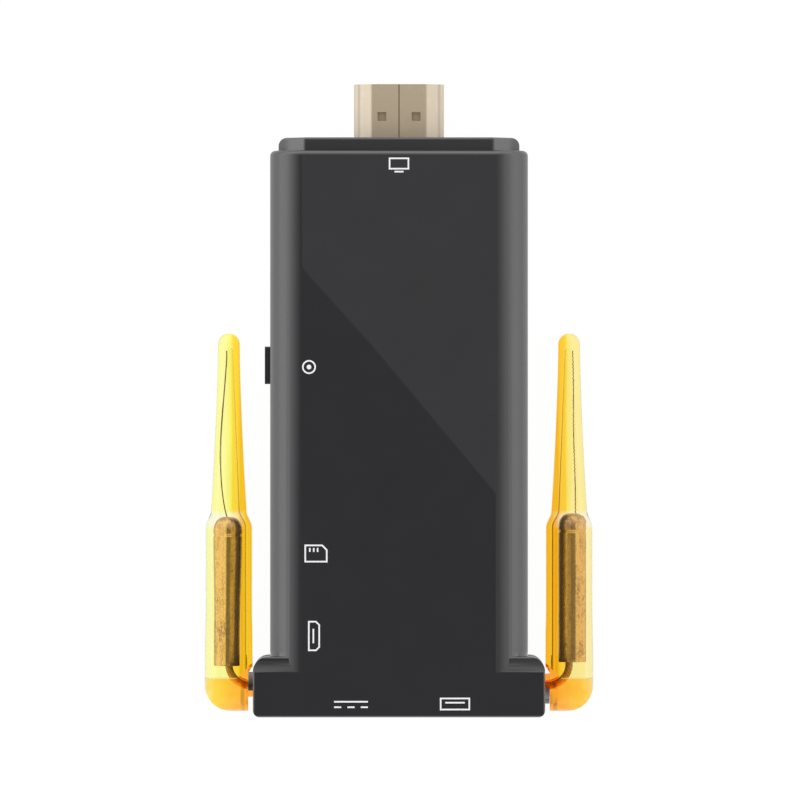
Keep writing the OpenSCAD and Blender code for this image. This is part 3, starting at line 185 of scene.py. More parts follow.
class Socket:
    """Wraps an output so that sums and products of values add Math nodes."""

    def __init__(self, paint, output):
        self.paint = paint
        self.output = output

    def __add__(self, other):
        return math_node("ADD", self, other)

    def __radd__(self, other):
        return math_node("ADD", other, self)

    def __sub__(self, other):
        return math_node("SUBTRACT", self, other)

    def __rsub__(self, other):
        return math_node("SUBTRACT", other, self)

    def __mul__(self, other):
        return math_node("MULTIPLY", self, other)

    def __rmul__(self, other):
        return math_node("MULTIPLY", other, self)

    def __truediv__(self, other):
        return math_node("DIVIDE", self, other)

    def __rtruediv__(self, other):
        return math_node("DIVIDE", other, self)

    def __pow__(self, other):
        return math_node("POWER", self, other)

    def __rpow__(self, other):
        return math_node("POWER", other, self)

    def __abs__(self):
        return math_node("ABSOLUTE", self)

    def step(self, low, high):
        """A smooth step from 0 at low to 1 at high."""
        settings = {"interpolation_type": "SMOOTHSTEP"}
        sockets = {"Value": self, "From Min": low, "From Max": high}
        return self.paint.add("ShaderNodeMapRange", settings, sockets)

    def band(self, start, low, high, end):
        """1 between low and high, falling smoothly to 0 at start and end."""
        return self.step(start, low) * self.step(end, high)


class Paint:
    """A node tree that is being filled."""

    def __init__(self, owner):
        owner.use_nodes = True
        self.owner = owner
        self.tree = owner.node_tree
        self.tree.nodes.clear()

    def add(self, kind, settings=None, sockets=None, output=0):
        """Adds a node: settings first, then values or links of its sockets. Returns one output."""
        node = self.tree.nodes.new(kind)
        for key, value in (settings or {}).items():
            if key == "stops":
                for k, (place, tint) in enumerate(value):
                    stops = node.color_ramp.elements
                    stop = stops[k] if k < len(stops) else stops.new(place)
                    stop.position = place
                    stop.color = (*tint, 1.0)
            else:
                setattr(node, key, value)
        for key, value in (sockets or {}).items():
            entry = node.inputs[key]
            if isinstance(value, Socket):
                self.tree.links.new(value.output, entry)
            else:
                entry.default_value = (*value, 1.0) if entry.type == "RGBA" else value
        return Socket(self, node.outputs[output]) if node.outputs else None

    def axes(self, vector):
        """The x, y and z of a vector."""
        split = self.add("ShaderNodeSeparateXYZ", sockets={"Vector": vector})
        node = split.output.node
        return [Socket(self, node.outputs[k]) for k in range(3)]

    def rays(self, *kinds):
        """For each kind of ray, 1 where such a ray arrives and else 0."""
        node = self.add("ShaderNodeLightPath").output.node
        return [Socket(self, node.outputs[f"Is {kind} Ray"]) for kind in kinds]

    def stretched(self, vector, factors):
        """A vector scaled by its own factor on each axis."""
        settings = {"operation": "MULTIPLY"}
        return self.add("ShaderNodeVectorMath", settings, {0: vector, 1: factors})

    def noise(self, vector, size, detail=3.0, rough=0.55, warp=0.0):
        """Noise from 0 to 1 whose grains are about the given size in metres."""
        sockets = {
            "Vector": vector, "Scale": 1.0 / size, "Detail": detail, "Roughness": rough,
            "Distortion": warp,
        }
        return self.add("ShaderNodeTexNoise", None, sockets)

    def mix(self, factor, first, second, blend="MIX"):
        """Two colours mixed by a factor."""
        settings = {"data_type": "RGBA", "blend_type": blend, "clamp_factor": True}
        return self.add("ShaderNodeMix", settings, {0: factor, 6: first, 7: second}, output=2)

    def bump(self, height, distance, strength=1.0):
        """A normal from a height between 0 and 1 that stands for the distance in metres."""
        sockets = {"Height": height, "Distance": distance, "Strength": strength}
        return self.add("ShaderNodeBump", None, sockets)

    def surface(self, shader):
        """Connects the shader to the output."""
        kind = "World" if isinstance(self.owner, bpy.types.World) else "Material"
        self.add(f"ShaderNodeOutput{kind}", None, {"Surface": shader})

    def principled(self, **sockets):
        """A Principled shader on the output: socket names in lower case with underscores."""
        named = {}
        for key, value in sockets.items():
            named[key.replace("_", " ").title().replace("Ior", "IOR")] = value
        self.surface(self.add("ShaderNodeBsdfPrincipled", {"distribution": "MULTI_GGX"}, named))
        return self.owner


def new_paint(name):
    """A paint for a new material, and the places on its surface, in metres."""
    p = Paint(bpy.data.materials.new(name))
    return p, p.add("ShaderNodeTexCoord", output="Object")


def shade(tint, factor):
    """A colour made lighter or darker."""
    return tuple(min(1.0, c * factor) for c in tint)


def gloss_plastic(name, tint, polish=0.008):
    """Polished plastic with faint handling marks and cloudiness, duller on its upright walls."""
    p, at = new_paint(name)
    x, y, _ = p.axes(at)
    _, along, upward = p.axes(p.add("ShaderNodeNewGeometry", output="Normal"))
    flank = abs(x).step(CASE_SIDE - 2.6 * MM, CASE_SIDE - 1.2 * MM) * y.step(BAR_TOP, BAR_TOP + MM)
    wall = abs(upward).step(0.35, 0.1) * along.step(0.2, 0.5)
    dull = math_node("MAXIMUM", flank, wall)
    cloud = p.noise(at, 6 * MM, 2.0)
    smudge = p.noise(at, 2.2 * MM, 4.0, 0.6).step(0.52, 0.78)
    hair = p.noise(p.stretched(at, (1.0, 0.06, 1.0)), 0.12 * MM, 2.0).step(0.66, 0.74)
    base = p.mix(cloud.step(0.3, 0.7), shade(tint, 0.97), shade(tint, 1.03))
    return p.principled(
        base_color=base, roughness=polish + 0.004 * smudge + 0.004 * hair + 0.36 * dull, ior=1.9,
        normal=p.bump(p.noise(at, 1.4 * MM, 1.0), 0.02 * MM, 0.002),
    )


def satin_plastic(name, tint, rough=0.42, grain=0.12 * MM, depth=0.006 * MM):
    """Spark-textured plastic: a fine grain in the mould and slightly polished high spots."""
    p, at = new_paint(name)
    texture = p.noise(at, grain, 3.0, 0.6)
    wear = p.noise(at, 4 * MM, 3.0).step(0.45, 0.75)
    base = p.mix(texture.step(0.3, 0.7), shade(tint, 0.86), shade(tint, 1.12))
    return p.principled(
        base_color=base, roughness=rough + 0.1 * texture - 0.06 * wear,
        ior=1.5, normal=p.bump(texture, depth),
    )


def amber_plastic(name, tints, rough=0.015, mottle=0.05, hub=0.0):
    """Clear amber with painted light and shade: a painted lit, pale side away from the case and a
    painted shaded, deep side towards it.

    The tints, given by the caller, run from the inner side to the outer side. The right tube's
    tints are multiplied a little redder. A painted glint lightens the shoulder. Mottle shifts the
    tints along the flow marks. Hub is how dark a painted shade is where the hinge sits behind the
    amber, and it shortens the marks.
    """
    p, at = new_paint(name)
    x, y, _ = p.axes(at)
    off, up = abs(x) - TUBE_X, y - HINGE_Y
    flow = p.noise(p.stretched(at, (1.0, 0.12 + hub, 1.0)), 1.6 * MM, 3.0, 0.5, 0.4)
    across = off / (2 * TUBE_RADIUS) + 0.5 + mottle * (flow - 0.5)
    # Painted shade: a dark streak where the hinge's hub sits behind the amber, as dark as hub asks
    streak = off.band(-2.6 * MM, -2.3 * MM, -2.0 * MM, -1.7 * MM)
    streak = streak * up.band(-3.4 * MM, -2.8 * MM, 0.2 * MM, 0.7 * MM) * flow.step(0.3, 0.6)
    # Painted glint: round the shoulder, away from the case, the tint is mixed towards white
    low, high = SHOULDER_LOW, SHOULDER_HIGH
    ring = up.band(low - 0.3 * MM, low + 0.8 * MM, high - MM, high + 0.2 * MM)
    ring = ring * across.step(0.15, 0.45)
    # Painted light and shade: the ramp runs from the painted shaded side towards the case to the
    # painted lit side away from it
    tint = p.add("ShaderNodeValToRGB", {"stops": tints}, {"Fac": across})
    tint = p.mix(x.step(-MM, MM), tint, (1.0, 0.87, 0.9), "MULTIPLY")
    # The painted shade of the hub goes into the tint here
    tint = p.mix(hub * streak, tint, (0.3, 0.1, 0.02))
    return p.principled(
        base_color=p.mix(0.6 * ring, tint, (1.0, 1.0, 0.95)), roughness=rough + 0.02 * flow,
        ior=1.14, transmission_weight=1.0, coat_weight=0.5, coat_ior=1.35, coat_roughness=0.03,
        normal=p.bump(flow, 0.01 * MM, 0.25),
    )


def bore_plastic(name, tint):
    """The wall of a bore: nearly clear, with flow marks and a painted brown shade line along its
    edge towards the case.
    """
    p, at = new_paint(name)
    x, _, z = p.axes(at)
    off, rise = abs(x) - TUBE_X, abs(z - HINGE_Z)
    flow = p.noise(p.stretched(at, (1.0, 0.12, 1.0)), 1.2 * MM, 3.0)
    # Painted shade: a brown line where the bore's wall turns edge-on, on the side towards the case,
    # stronger in the right tube
    line = (rise / (off * off + rise * rise) ** 0.5).step(0.5, 0.3)
    line = line * off.step(0.0, -0.2 * MM) * (0.55 + 0.35 * x.step(-MM, MM))
    base = p.mix(flow.step(0.3, 0.7), tint, shade(tint, 0.94))
    return p.principled(
        base_color=p.mix(line, base, (0.3, 0.13, 0.01)), roughness=0.02 + 0.03 * flow, ior=1.06,
        transmission_weight=1.0,
    )


def aged_brass(name, bright, dull):
    """Rolled brass: grain along the sheet, coarse speckle and tarnish."""
    p, at = new_paint(name)
    fine = p.noise(at, 0.16 * MM, 3.0, 0.7)
    speckle = p.noise(p.stretched(at, (1.0, 0.6, 1.0)), 0.34 * MM, 4.0, 0.75)
    streak = p.noise(p.stretched(at, (1.0, 0.06, 1.0)), 0.4 * MM, 3.0)
    patch = p.noise(at, 2.6 * MM, 4.0, 0.6, 0.6)
    dirt = (0.45 * patch + 0.8 * speckle + 0.5 * streak).step(0.8, 1.08)
    base = p.mix(dirt, bright, dull)
    base = p.mix(fine.step(0.54, 0.66), base, shade(bright, 1.4))
    return p.principled(
        base_color=base, metallic=1.0, roughness=0.24 + 0.16 * dirt + 0.08 * fine,
        normal=p.bump(0.5 * speckle + 0.5 * fine, 0.05 * MM),
    )


def drawn_sheet(p, at, tint):
    """Fine drawn lines along the case, rubbed places, and the colour that they give."""
    lines = p.noise(p.stretched(at, (1.0, 0.05, 1.0)), 0.06 * MM, 2.0)
    rubbed = p.noise(at, 1.8 * MM, 4.0, 0.6).step(0.5, 0.8)
    return lines, rubbed, p.mix(rubbed, shade(tint, 0.97), shade(tint, 1.05))


def brushed_metal(name, tint, rough):
    """Plated or extruded metal."""
    p, at = new_paint(name)
    lines, rubbed, base = drawn_sheet(p, at, tint)
    return p.principled(
        base_color=base, metallic=1.0, roughness=rough + 0.05 * lines - 0.04 * rubbed,
        normal=p.bump(lines, 0.002 * MM),
    )


def folded_shell(name, tint):
    """Satin plating on folded sheet: a dark seam along the middle and a faint line of painted shade
    along each bend.
    """
    p, at = new_paint(name)
    x, _, z = p.axes(at)
    lines, rubbed, base = drawn_sheet(p, at, tint)
    seam = abs(x).step(0.11 * MM, 0.06 * MM) * z.step(PLUG_TOP - 1.5 * MM, PLUG_TOP - 1.2 * MM)
    # Painted shade: a darker line along each bend of the sheet
    fold_shade = abs(abs(x) - 6.2 * MM).step(0.3 * MM, 0.1 * MM)
    base = p.mix(0.6 * fold_shade, base, shade(tint, 0.5))
    return p.principled(
        base_color=p.mix(0.75 * seam, base, shade(tint, 0.3)), metallic=0.5,
        roughness=0.45 + 0.06 * lines - 0.05 * rubbed, coat_weight=1.0 - seam, coat_ior=2.0,
        coat_roughness=0.2, normal=p.bump(lines, 0.002 * MM),
    )


def lacquered_board(name, tint):
    """Green lacquer over copper tracks, with small bright pads."""
    p, at = new_paint(name)
    x, y, _ = p.axes(at)
    lane = math_node("PINGPONG", x + 0.2 * MM * p.noise(at, 5 * MM), 0.55 * MM) / (0.55 * MM)
    cross = math_node("PINGPONG", y, 3.1 * MM) / (3.1 * MM)
    track = lane.step(0.62, 0.7) * cross.step(0.12, 0.16)
    cells = p.add("ShaderNodeTexVoronoi", None, {"Vector": at, "Scale": 420.0, "Randomness": 0.8})
    pad = 1.0 - cells.step(0.1, 0.13)
    green = p.mix(track, tint, shade(tint, 1.7))
    return p.principled(
        base_color=p.mix(pad, green, (0.75, 0.62, 0.34)), metallic=0.9 * pad,
        roughness=0.32 - 0.06 * track, normal=p.bump(track + pad, 0.03 * MM),
    )


def printed_ink(name, tint):
    """White ink: slightly uneven and a little dull."""
    p, at = new_paint(name)
    uneven = p.noise(at, 0.18 * MM, 3.0)
    base = p.mix(uneven.step(0.25, 0.6), shade(tint, 0.86), tint)
    return p.principled(
        base_color=base, roughness=0.45 + 0.15 * uneven, ior=1.45, normal=p.bump(uneven, 0.002 * MM)
    )


def braided_lead(name, tint):
    """A lead's braid, with fine crossing ridges, stripped to its pale core inside the knuckle."""
    p, at = new_paint(name)
    _, y, _ = p.axes(at)
    core = (y - HINGE_Y).step(1.4 * MM, 0.9 * MM)
    settings = {"wave_type": "BANDS", "bands_direction": "DIAGONAL"}
    ridges = p.add("ShaderNodeTexWave", settings, {"Vector": at, "Scale": 900.0, "Distortion": 1.0})
    fleck = p.noise(at, 0.15 * MM, 3.0)
    base = p.mix(ridges * 0.5 + fleck * 0.5, shade(tint, 0.6), shade(tint, 1.2))
    return p.principled(
        base_color=p.mix(0.85 * core, base, (1.0, 0.9, 0.75)), metallic=0.25 - 0.25 * core,
        roughness=0.42 + 0.1 * fleck, normal=p.bump(ridges, 0.02 * MM),
    )


# Finishes of the frame's own pieces


def smoothing():
    """A modifier group that welds a piece and shades it smooth except at clear edges."""
    name = "smooth_by_angle"
    if name in bpy.data.node_groups:
        return bpy.data.node_groups[name]
    group = bpy.data.node_groups.new(name, "GeometryNodeTree")
    group.interface.new_socket("Geometry", in_out="INPUT", socket_type="NodeSocketGeometry")
    group.interface.new_socket("Geometry", in_out="OUTPUT", socket_type="NodeSocketGeometry")
    add, link = group.nodes.new, group.links.new
    source, result = add("NodeGroupInput"), add("NodeGroupOutput")
    weld = add("GeometryNodeMergeByDistance")
    weld.inputs["Distance"].default_value = 0.0005 * MM
    faces, edges = add("GeometryNodeSetShadeSmooth"), add("GeometryNodeSetShadeSmooth")
    edges.domain = "EDGE"
    edges.inputs["Shade Smooth"].default_value = False
    angle = add("GeometryNodeInputMeshEdgeAngle")
    steep = add("FunctionNodeCompare")
    steep.operation = "GREATER_THAN"
    steep.inputs[1].default_value = math.radians(26)
    link(source.outputs[0], weld.inputs["Geometry"])
    link(weld.outputs["Geometry"], faces.inputs["Geometry"])
    link(faces.outputs["Geometry"], edges.inputs["Geometry"])
    link(angle.outputs["Unsigned Angle"], steep.inputs[0])
    link(steep.outputs["Result"], edges.inputs["Selection"])
    link(edges.outputs["Geometry"], result.inputs[0])
    return group


def dress(material, *nodes):
    """Gives the frame's pieces this material and smooth shading."""
    for node in nodes:
        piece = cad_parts[node]
        for place in piece.material_slots:
            place.material = material
        piece.modifiers.new("smooth", "NODES").node_group = smoothing()
        even = piece.modifiers.new("even", "WEIGHTED_NORMAL")
        even.keep_sharp = True
        even.weight = 90


# Meshes of the pieces that are built here


def steps(count, first=1):
    """The way from 0 to 1 in equal steps, without its start unless first is 0."""
    return [k / count for k in range(first, count + 1)]


def smooth_step(t):
    """A smooth blend from 0 to 1, flat at both ends."""
    t = min(1.0, max(0.0, t))
    return t * t * (3 - 2 * t)


def eased(start, end, t):
    """A value on its smooth way from start to end."""
    return start + (end - start) * smooth_step(t)


def corner(t):
    """The cosine and sine of a quarter turn's share."""
    return math.cos(math.pi / 2 * t), math.sin(math.pi / 2 * t)


def mesh_piece(name, bm, material, body, replaced=None, smooth=True):
    """Turns a bmesh into a piece that rides on a body and may stand for a node of the frame."""
    bmesh.ops.recalc_face_normals(bm, faces=bm.faces)
    data = bpy.data.meshes.new(name)
    bm.to_mesh(data)
    bm.free()
    data.materials.append(material)
    piece = bpy.data.objects.new(name, data)
    bpy.context.scene.collection.objects.link(piece)
    for polygon in data.polygons:
        polygon.use_smooth = smooth
    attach(piece, body)
    # An antenna would throw a yellow mirror image on the case's glossy sides
    piece.visible_glossy = body == "casing"
    if replaced:
        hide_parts(replaced)
    return piece


def turned(outline, sides):
    """A closed outline of (radius, height) pairs turned round the Y axis."""
    bm = bmesh.new()
    angles = [2 * math.pi * k / sides for k in range(sides)]
    rings = []
    for r, y in outline:
        if r > 0.0001 * MM:
            ring = [bm.verts.new((r * math.cos(a), y, -r * math.sin(a))) for a in angles]
        else:
            ring = [bm.verts.new((0, y, 0))] * sides
        rings.append(ring)
    for one, two in zip(rings, rings[1:] + rings[:1]):
        for k in range(sides):
            n = (k + 1) % sides
            corners = dict.fromkeys((one[k], one[n], two[n], two[k]))
            if len(corners) > 2:
                bm.faces.new(corners)
    bmesh.ops.recalc_face_normals(bm, faces=bm.faces)
    return bm


def prism(outline, low, high):
    """An outline of (x, y) pairs raised from one height to another."""
    bm = bmesh.new()
    face = bm.faces.new([bm.verts.new((x, y, low)) for x, y in outline])
    made = bmesh.ops.extrude_face_region(bm, geom=[face])["geom"]
    raised = [v for v in made if isinstance(v, bmesh.types.BMVert)]
    bmesh.ops.translate(bm, verts=raised, vec=(0, 0, high - low))
    bmesh.ops.recalc_face_normals(bm, faces=bm.faces)
    return bm


def swept(points, radius, sides, wobble):
    """A round tube along a path, with closed ends and an uneven skin."""
    bm = bmesh.new()
    rings = []
    side = Vector((0, 0, 1))
    for k, point in enumerate(points):
        way = (points[min(k + 1, len(points) - 1)] - points[max(k - 1, 0)]).normalized()
        side = (side - way * side.dot(way)).normalized()
        up = way.cross(side)
        ring = []
        for j in range(sides):
            a = 2 * math.pi * j / sides
            spoke = math.cos(a) * side + math.sin(a) * up
            r = radius * (1 + wobble * noise.noise(point * 1400 + spoke * 3))
            ring.append(bm.verts.new(point + r * spoke))
        rings.append(ring)
    for one, two in zip(rings, rings[1:]):
        for j in range(sides):
            bm.faces.new((one[j], two[j], two[(j + 1) % sides], one[(j + 1) % sides]))
    bm.faces.new(rings[0])
    bm.faces.new(reversed(rings[-1]))
    return bm


def own_number(item):
    """A number that is an edge's or a face's own, from its lowest corners."""
    number = 0
    for corner_index in sorted(v.index for v in item.verts)[:3]:
        number = number * 100000 + corner_index
    return number


def carve(piece, cutters):
    """Cuts the given bmeshes out of a piece and keeps the result as its mesh."""
    tools = []
    for bm in cutters:
        data = bpy.data.meshes.new("cutter")
        bm.to_mesh(data)
        bm.free()
        tool = bpy.data.objects.new("cutter", data)
        bpy.context.scene.collection.objects.link(tool)
        tool.matrix_world = piece.matrix_world
        cut = piece.modifiers.new("cut", "BOOLEAN")
        cut.operation = "DIFFERENCE"
        cut.solver = "EXACT"
        cut.object = tool
        tools.append(tool)
    bpy.context.view_layer.update()
    shown = piece.evaluated_get(bpy.context.evaluated_depsgraph_get())
    result = bpy.data.meshes.new_from_object(shown)
    piece.modifiers.clear()
    piece.data = result
    for tool in tools:
        bpy.data.objects.remove(tool)
    if not result.polygons:
        raise RuntimeError(f"{piece.name} was lost when it was cut")
    # The cut lists its edges and faces in an order that changes from run to run
    bm = bmesh.new()
    bm.from_mesh(result)
    bm.edges.sort(key=own_number)
    bm.faces.sort(key=own_number)
    bm.to_mesh(result)
    bm.free()


def crisp(piece, degrees=30):
    """Smooth shading that keeps clear edges."""
    for polygon in piece.data.polygons:
        polygon.use_smooth = True
    split = piece.modifiers.new("edges", "EDGE_SPLIT")
    split.split_angle = math.radians(degrees)


def at_antenna(bm, side):
    """Moves a bmesh drawn on the hinge, with the case towards -X, to its own antenna."""
    move = Matrix.Translation(Vector((side * TUBE_X, HINGE_Y, HINGE_Z)))
    bm.transform(move @ Matrix.Diagonal((side, 1, 1, 1)))
    if side < 0:
        bmesh.ops.reverse_faces(bm, faces=bm.faces)
    return bm


def antenna_piece(bm, word, kind, material):
    """Sets a bmesh in its antenna, where it stands for the frame's node of that kind."""
    return mesh_piece(
        f"{word}_{kind}", at_antenna(bm, SIDES[word]), material, f"{word}_antenna",
        f"{word}_antenna_{kind}",
    )


def tube_outline(s):
    """Outline of the amber tube: outer wall, rounded tip, then the bore back down."""
    tip_wall, bore_tip, bore_top, funnel = 2.2 * MM, 0.6 * MM, 1.55 * MM, 2.6 * MM
    points = [(s.tube_radius, TUBE_FOOT), (s.tube_radius, WAIST_START)]
    for t in steps(8):
        radius = eased(s.tube_radius, s.waist_radius, t)
        points.append((radius, WAIST_START + (WAIST_END - WAIST_START) * t))
    points.append((s.waist_radius, SHOULDER_LOW - 0.6 * MM))
    for t in steps(16, 0):
        radius = s.waist_radius + (s.taper_radius - s.waist_radius) * smooth_step(t) ** 1.2
        points.append((radius, SHOULDER_LOW + (SHOULDER_HIGH - SHOULDER_LOW) * t))
    centre = s.antenna_reach - s.tip_radius
    for t in steps(32):
        radius = s.tip_radius + (s.taper_radius - s.tip_radius) * (1 - t) ** 1.5
        points.append((radius, SHOULDER_HIGH + (centre - SHOULDER_HIGH) * t))
    for t in steps(12):
        out, up = corner(t)
        points.append((s.tip_radius * out, centre + s.tip_radius * up))
    centre = s.antenna_reach - tip_wall - bore_tip
    for t in steps(5, 0):
        out, up = corner(1 - t)
        points.append((bore_tip * out, centre + bore_tip * up))
    for t in steps(24):
        radius = bore_tip + (bore_top - bore_tip) * t
        points.append((radius, centre - (centre - SHOULDER_HIGH) * t))
    for t in steps(12):
        points.append((eased(bore_top, s.bore_radius, t), SHOULDER_HIGH - funnel * t))
    points.append((s.bore_radius, TUBE_FOOT))
    return points


def hinge_cutters():
    """What is cut from a tube: everything below the seam, and room for the bar and its lug."""
    far, past_tip = 8 * MM, 60 * MM
    flat = TUBE_LOW.x - TUBE_X
    slope_start, slope_end, ear = -1.25 * MM, -3.55 * MM, 3.4 * MM
    lug_radius, lug_face = 3.0 * MM, flat + 0.65 * MM
    below = [
        (far, -far), (far, SEAM), (slope_start, SEAM), (slope_end, ear), (-far, ear), (-far, -far),
    ]
    lug = turned([(0, -far), (lug_radius, -far), (lug_radius, lug_face), (0, lug_face)], 64)
    lug.transform(Matrix.Rotation(math.radians(-90), 4, "Z"))
    side = prism([(-far, -far), (flat, -far), (flat, past_tip), (-far, past_tip)], -far, far)
    return [prism(below, -far, far), lug, side]


def line_bore(tube, clear, side):
    """Gives the bore's wall, the faces that look inwards well inside the skin, its own finish."""
    tube.data.materials.append(clear)
    hinge = Vector((side * TUBE_X, HINGE_Y, HINGE_Z))
    wide, narrow, slope, inwards = 3.05 * MM, 2.3 * MM, 0.043, -0.3
    for polygon in tube.data.polygons:
        place = polygon.center - hinge
        spoke = Vector((place.x, 0, place.z))
        limit = eased(wide, narrow, (place.y - SHOULDER_LOW) / (SHOULDER_HIGH - SHOULDER_LOW))
        limit -= slope * max(0.0, place.y - SHOULDER_HIGH)
        facing = polygon.normal.dot(spoke.normalized())
        if spoke.length < limit and place.y < BORE_END and facing < inwards:
            polygon.material_index = 1


def sleeve_outline(s):
    """Outline of a brass sleeve: thin wall, crimp, then a dome with a hole for the wire."""
    outer, inner = s.sleeve_radius, s.sleeve_radius - s.sleeve_wall
    break_in, break_up = 0.05 * MM, 0.06 * MM
    crimp_depth, crimp_width = 0.14 * MM, 0.16 * MM
    dome_in, dome_up, hole = 1.65 * MM, 2.1 * MM, 0.3 * MM
    reach = SLEEVE_DOME - SLEEVE_FOOT
    heights = [SLEEVE_FOOT + break_up + reach * t for t in steps(40)[:-1]]
    heights = [y for y in heights if abs(y - SLEEVE_CRIMP) > 0.5 * MM]
    heights = sorted(heights + [SLEEVE_CRIMP + 0.08 * MM * k for k in range(-6, 7)])
    points = [
        (inner, SLEEVE_FOOT), (outer - break_in, SLEEVE_FOOT), (outer, SLEEVE_FOOT + break_up),
    ]
    for y in heights:
        nearness = math.exp(-(((y - SLEEVE_CRIMP) / crimp_width) ** 2))
        points.append((outer - crimp_depth * nearness, y))
    for t in steps(14):
        out, up = corner(t)
        points.append((outer - dome_in * (1 - out), SLEEVE_DOME + dome_up * up))
    return points + [(hole, SLEEVE_DOME + dome_up), (hole, SLEEVE_DOME), (inner, SLEEVE_DOME)]


def flattened(angle, flats):
    """How far the flats pull in a round sleeve at an angle in degrees."""
    factor = 1.0
    for start, stop in flats:
        if start <= angle <= stop:
            middle, half = (start + stop) / 2, (stop - start) / 2
            factor *= math.cos(math.radians(half)) / math.cos(math.radians(angle - middle))
    return factor


def bowed_path():
    """The left wire's way, in mm: bowed outwards to the bore's wall."""
    points = []
    for t in steps(80, 0):
        bow = math.sin(math.pi * min(1.0, t * 1.04) ** 0.72) ** 1.1 * (1 - 0.25 * t)
        out, rise = 0.1 + 0.22 * t + 1.12 * bow, 0.25 * math.sin(2.1 * t)
        y = WIRE_START + (WIRE_END - WIRE_START) * t
        points.append(Vector((out * MM, y, rise * MM)))
    return points


def wound_path():
    """The right wire's way, in mm: fine turns, wider and narrower, that lean outwards."""
    turns, wide, narrow = 46, 0.05, 0.02
    points = []
    for t in steps(420, 0):
        out = 0.92 - 0.42 * t + 0.05 * math.sin(9 * t)
        a = 2 * math.pi * turns * t
        coil = wide if math.sin(23 * t) > -0.3 else narrow
        y = WIRE_START + (WIRE_END - WIRE_START) * t
        points.append(Vector(((out + coil * math.cos(a)) * MM, y, coil * math.sin(a) * MM)))
    return points


def lead_reach(node):
    """How far a lead reaches from its antenna's middle line towards the case."""
    low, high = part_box(node)
    return TUBE_X - min(abs(low.x), abs(high.x))


class Pen:
    """Draws printed lines as flat meshes on the front face."""

    def __init__(self, sizes):
        self.bm = bmesh.new()
        self.half = sizes.print_stroke / 2
        self.low = FACE + 0.001 * MM
        self.high = FACE + sizes.print_height

    def patch(self, corners):
        """A thin slab of ink with the given corners."""
        low = [self.bm.verts.new((x, y, self.low)) for x, y in corners]
        high = [self.bm.verts.new((x, y, self.high)) for x, y in corners]
        count = len(corners)
        self.bm.faces.new(high)
        self.bm.faces.new(low[::-1])
        for k in range(count):
            self.bm.faces.new((low[k], low[(k + 1) % count], high[(k + 1) % count], high[k]))

    def line(self, points, closed=False):
        """A line of even width through the points, with mitred corners."""
        count = len(points)
        inner, outer = [], []
        for k in range(count):
            here = Vector(points[k])
            ways = []
            if k or closed:
                ways.append((here - Vector(points[k - 1])).normalized())
            if k < count - 1 or closed:
                ways.append((Vector(points[(k + 1) % count]) - here).normalized())
            normals = [Vector((-w.y, w.x)) for w in ways]
            normal = sum(normals, Vector((0, 0))).normalized()
            reach = self.half / max(0.4, normal.dot(normals[0]))
            inner.append(here + normal * reach)
            outer.append(here - normal * reach)
        for k in range(count if closed else count - 1):
            n = (k + 1) % count
            self.patch([tuple(outer[k]), tuple(outer[n]), tuple(inner[n]), tuple(inner[k])])

    def ring(self, centre, radius):
        """A circle."""
        self.line(around(centre, radius, 40), True)

    def dot(self, centre, radius):
        """A filled disc."""
        self.patch(around(centre, radius, 24))


def around(centre, radius, count):
    """Points on a circle on the face."""
    angles = [2 * math.pi * k / count for k in range(count)]
    return [(centre.x + radius * math.cos(a), centre.y + radius * math.sin(a)) for a in angles]


def face_place(across, down):
    """A place on the front face, in points of 1/6.5 mm from the upper left of the view."""
    point = MM / 6.5
    return Vector(((across - 399.0) * point, (400.25 - down) * point))


# Operators


class STICK_OT_case(Operator):
    """Finish the two shells, the collar, the button and the screws"""

    bl_idname = "stick.case"
    bl_label = "Case"

    def execute(self, context):
        c = context.scene.stick_colours
        dress(gloss_plastic("front_shell_gloss", c.front), "top_cover")
        dress(satin_plastic("rear_shell_matt", c.rear), "bottom_cover")
        dress(gloss_plastic("collar_gloss", c.collar, 0.12), "plug_collar")
        dress(satin_plastic("button_satin", c.button, 0.36, 0.1 * MM, 0.004 * MM), "fn_button")
        dress(brushed_metal("screw_black_steel", (0.12, 0.12, 0.125), 0.34), "case_screws")
        return {"FINISHED"}


class STICK_OT_plug(Operator):
    """Finish the video plug: folded shell, insulator and contacts"""

    bl_idname = "stick.plug"
    bl_label = "Video plug"

    def execute(self, context):
        c = context.scene.stick_colours
        dress(folded_shell("plug_pale_gold", c.plug), "video_plug_shell")
        dress(satin_plastic("plug_insulator_khaki", c.insulator, 0.5), "video_plug_body")
        gold = brushed_metal("contact_gold", (0.86, 0.6, 0.2), 0.22)
        dress(
            gold, "video_plug_contacts", "data_socket_contacts", "power_socket_contacts",
            "side_socket_contacts", "card_socket_contacts",
        )
        return {"FINISHED"}


class STICK_OT_sockets(Operator):
    """Finish the sockets at the foot and the side, and the card socket"""

    bl_idname = "stick.sockets"
    bl_label = "Sockets"

    def execute(self, context):
        tin = brushed_metal("socket_tinned_steel", (0.62, 0.63, 0.65), 0.26)
        dress(
            tin, "data_socket_shell", "power_socket_shell", "side_socket_shell",
            "card_socket_cover",
        )
        dress(satin_plastic("socket_white_insulator", (0.7, 0.7, 0.68), 0.4), "data_socket_tongue")
        black = satin_plastic("socket_black_insulator", (0.02, 0.02, 0.021), 0.45)
        dress(black, "power_socket_tongue", "side_socket_tongue", "card_socket_base")
        return {"FINISHED"}


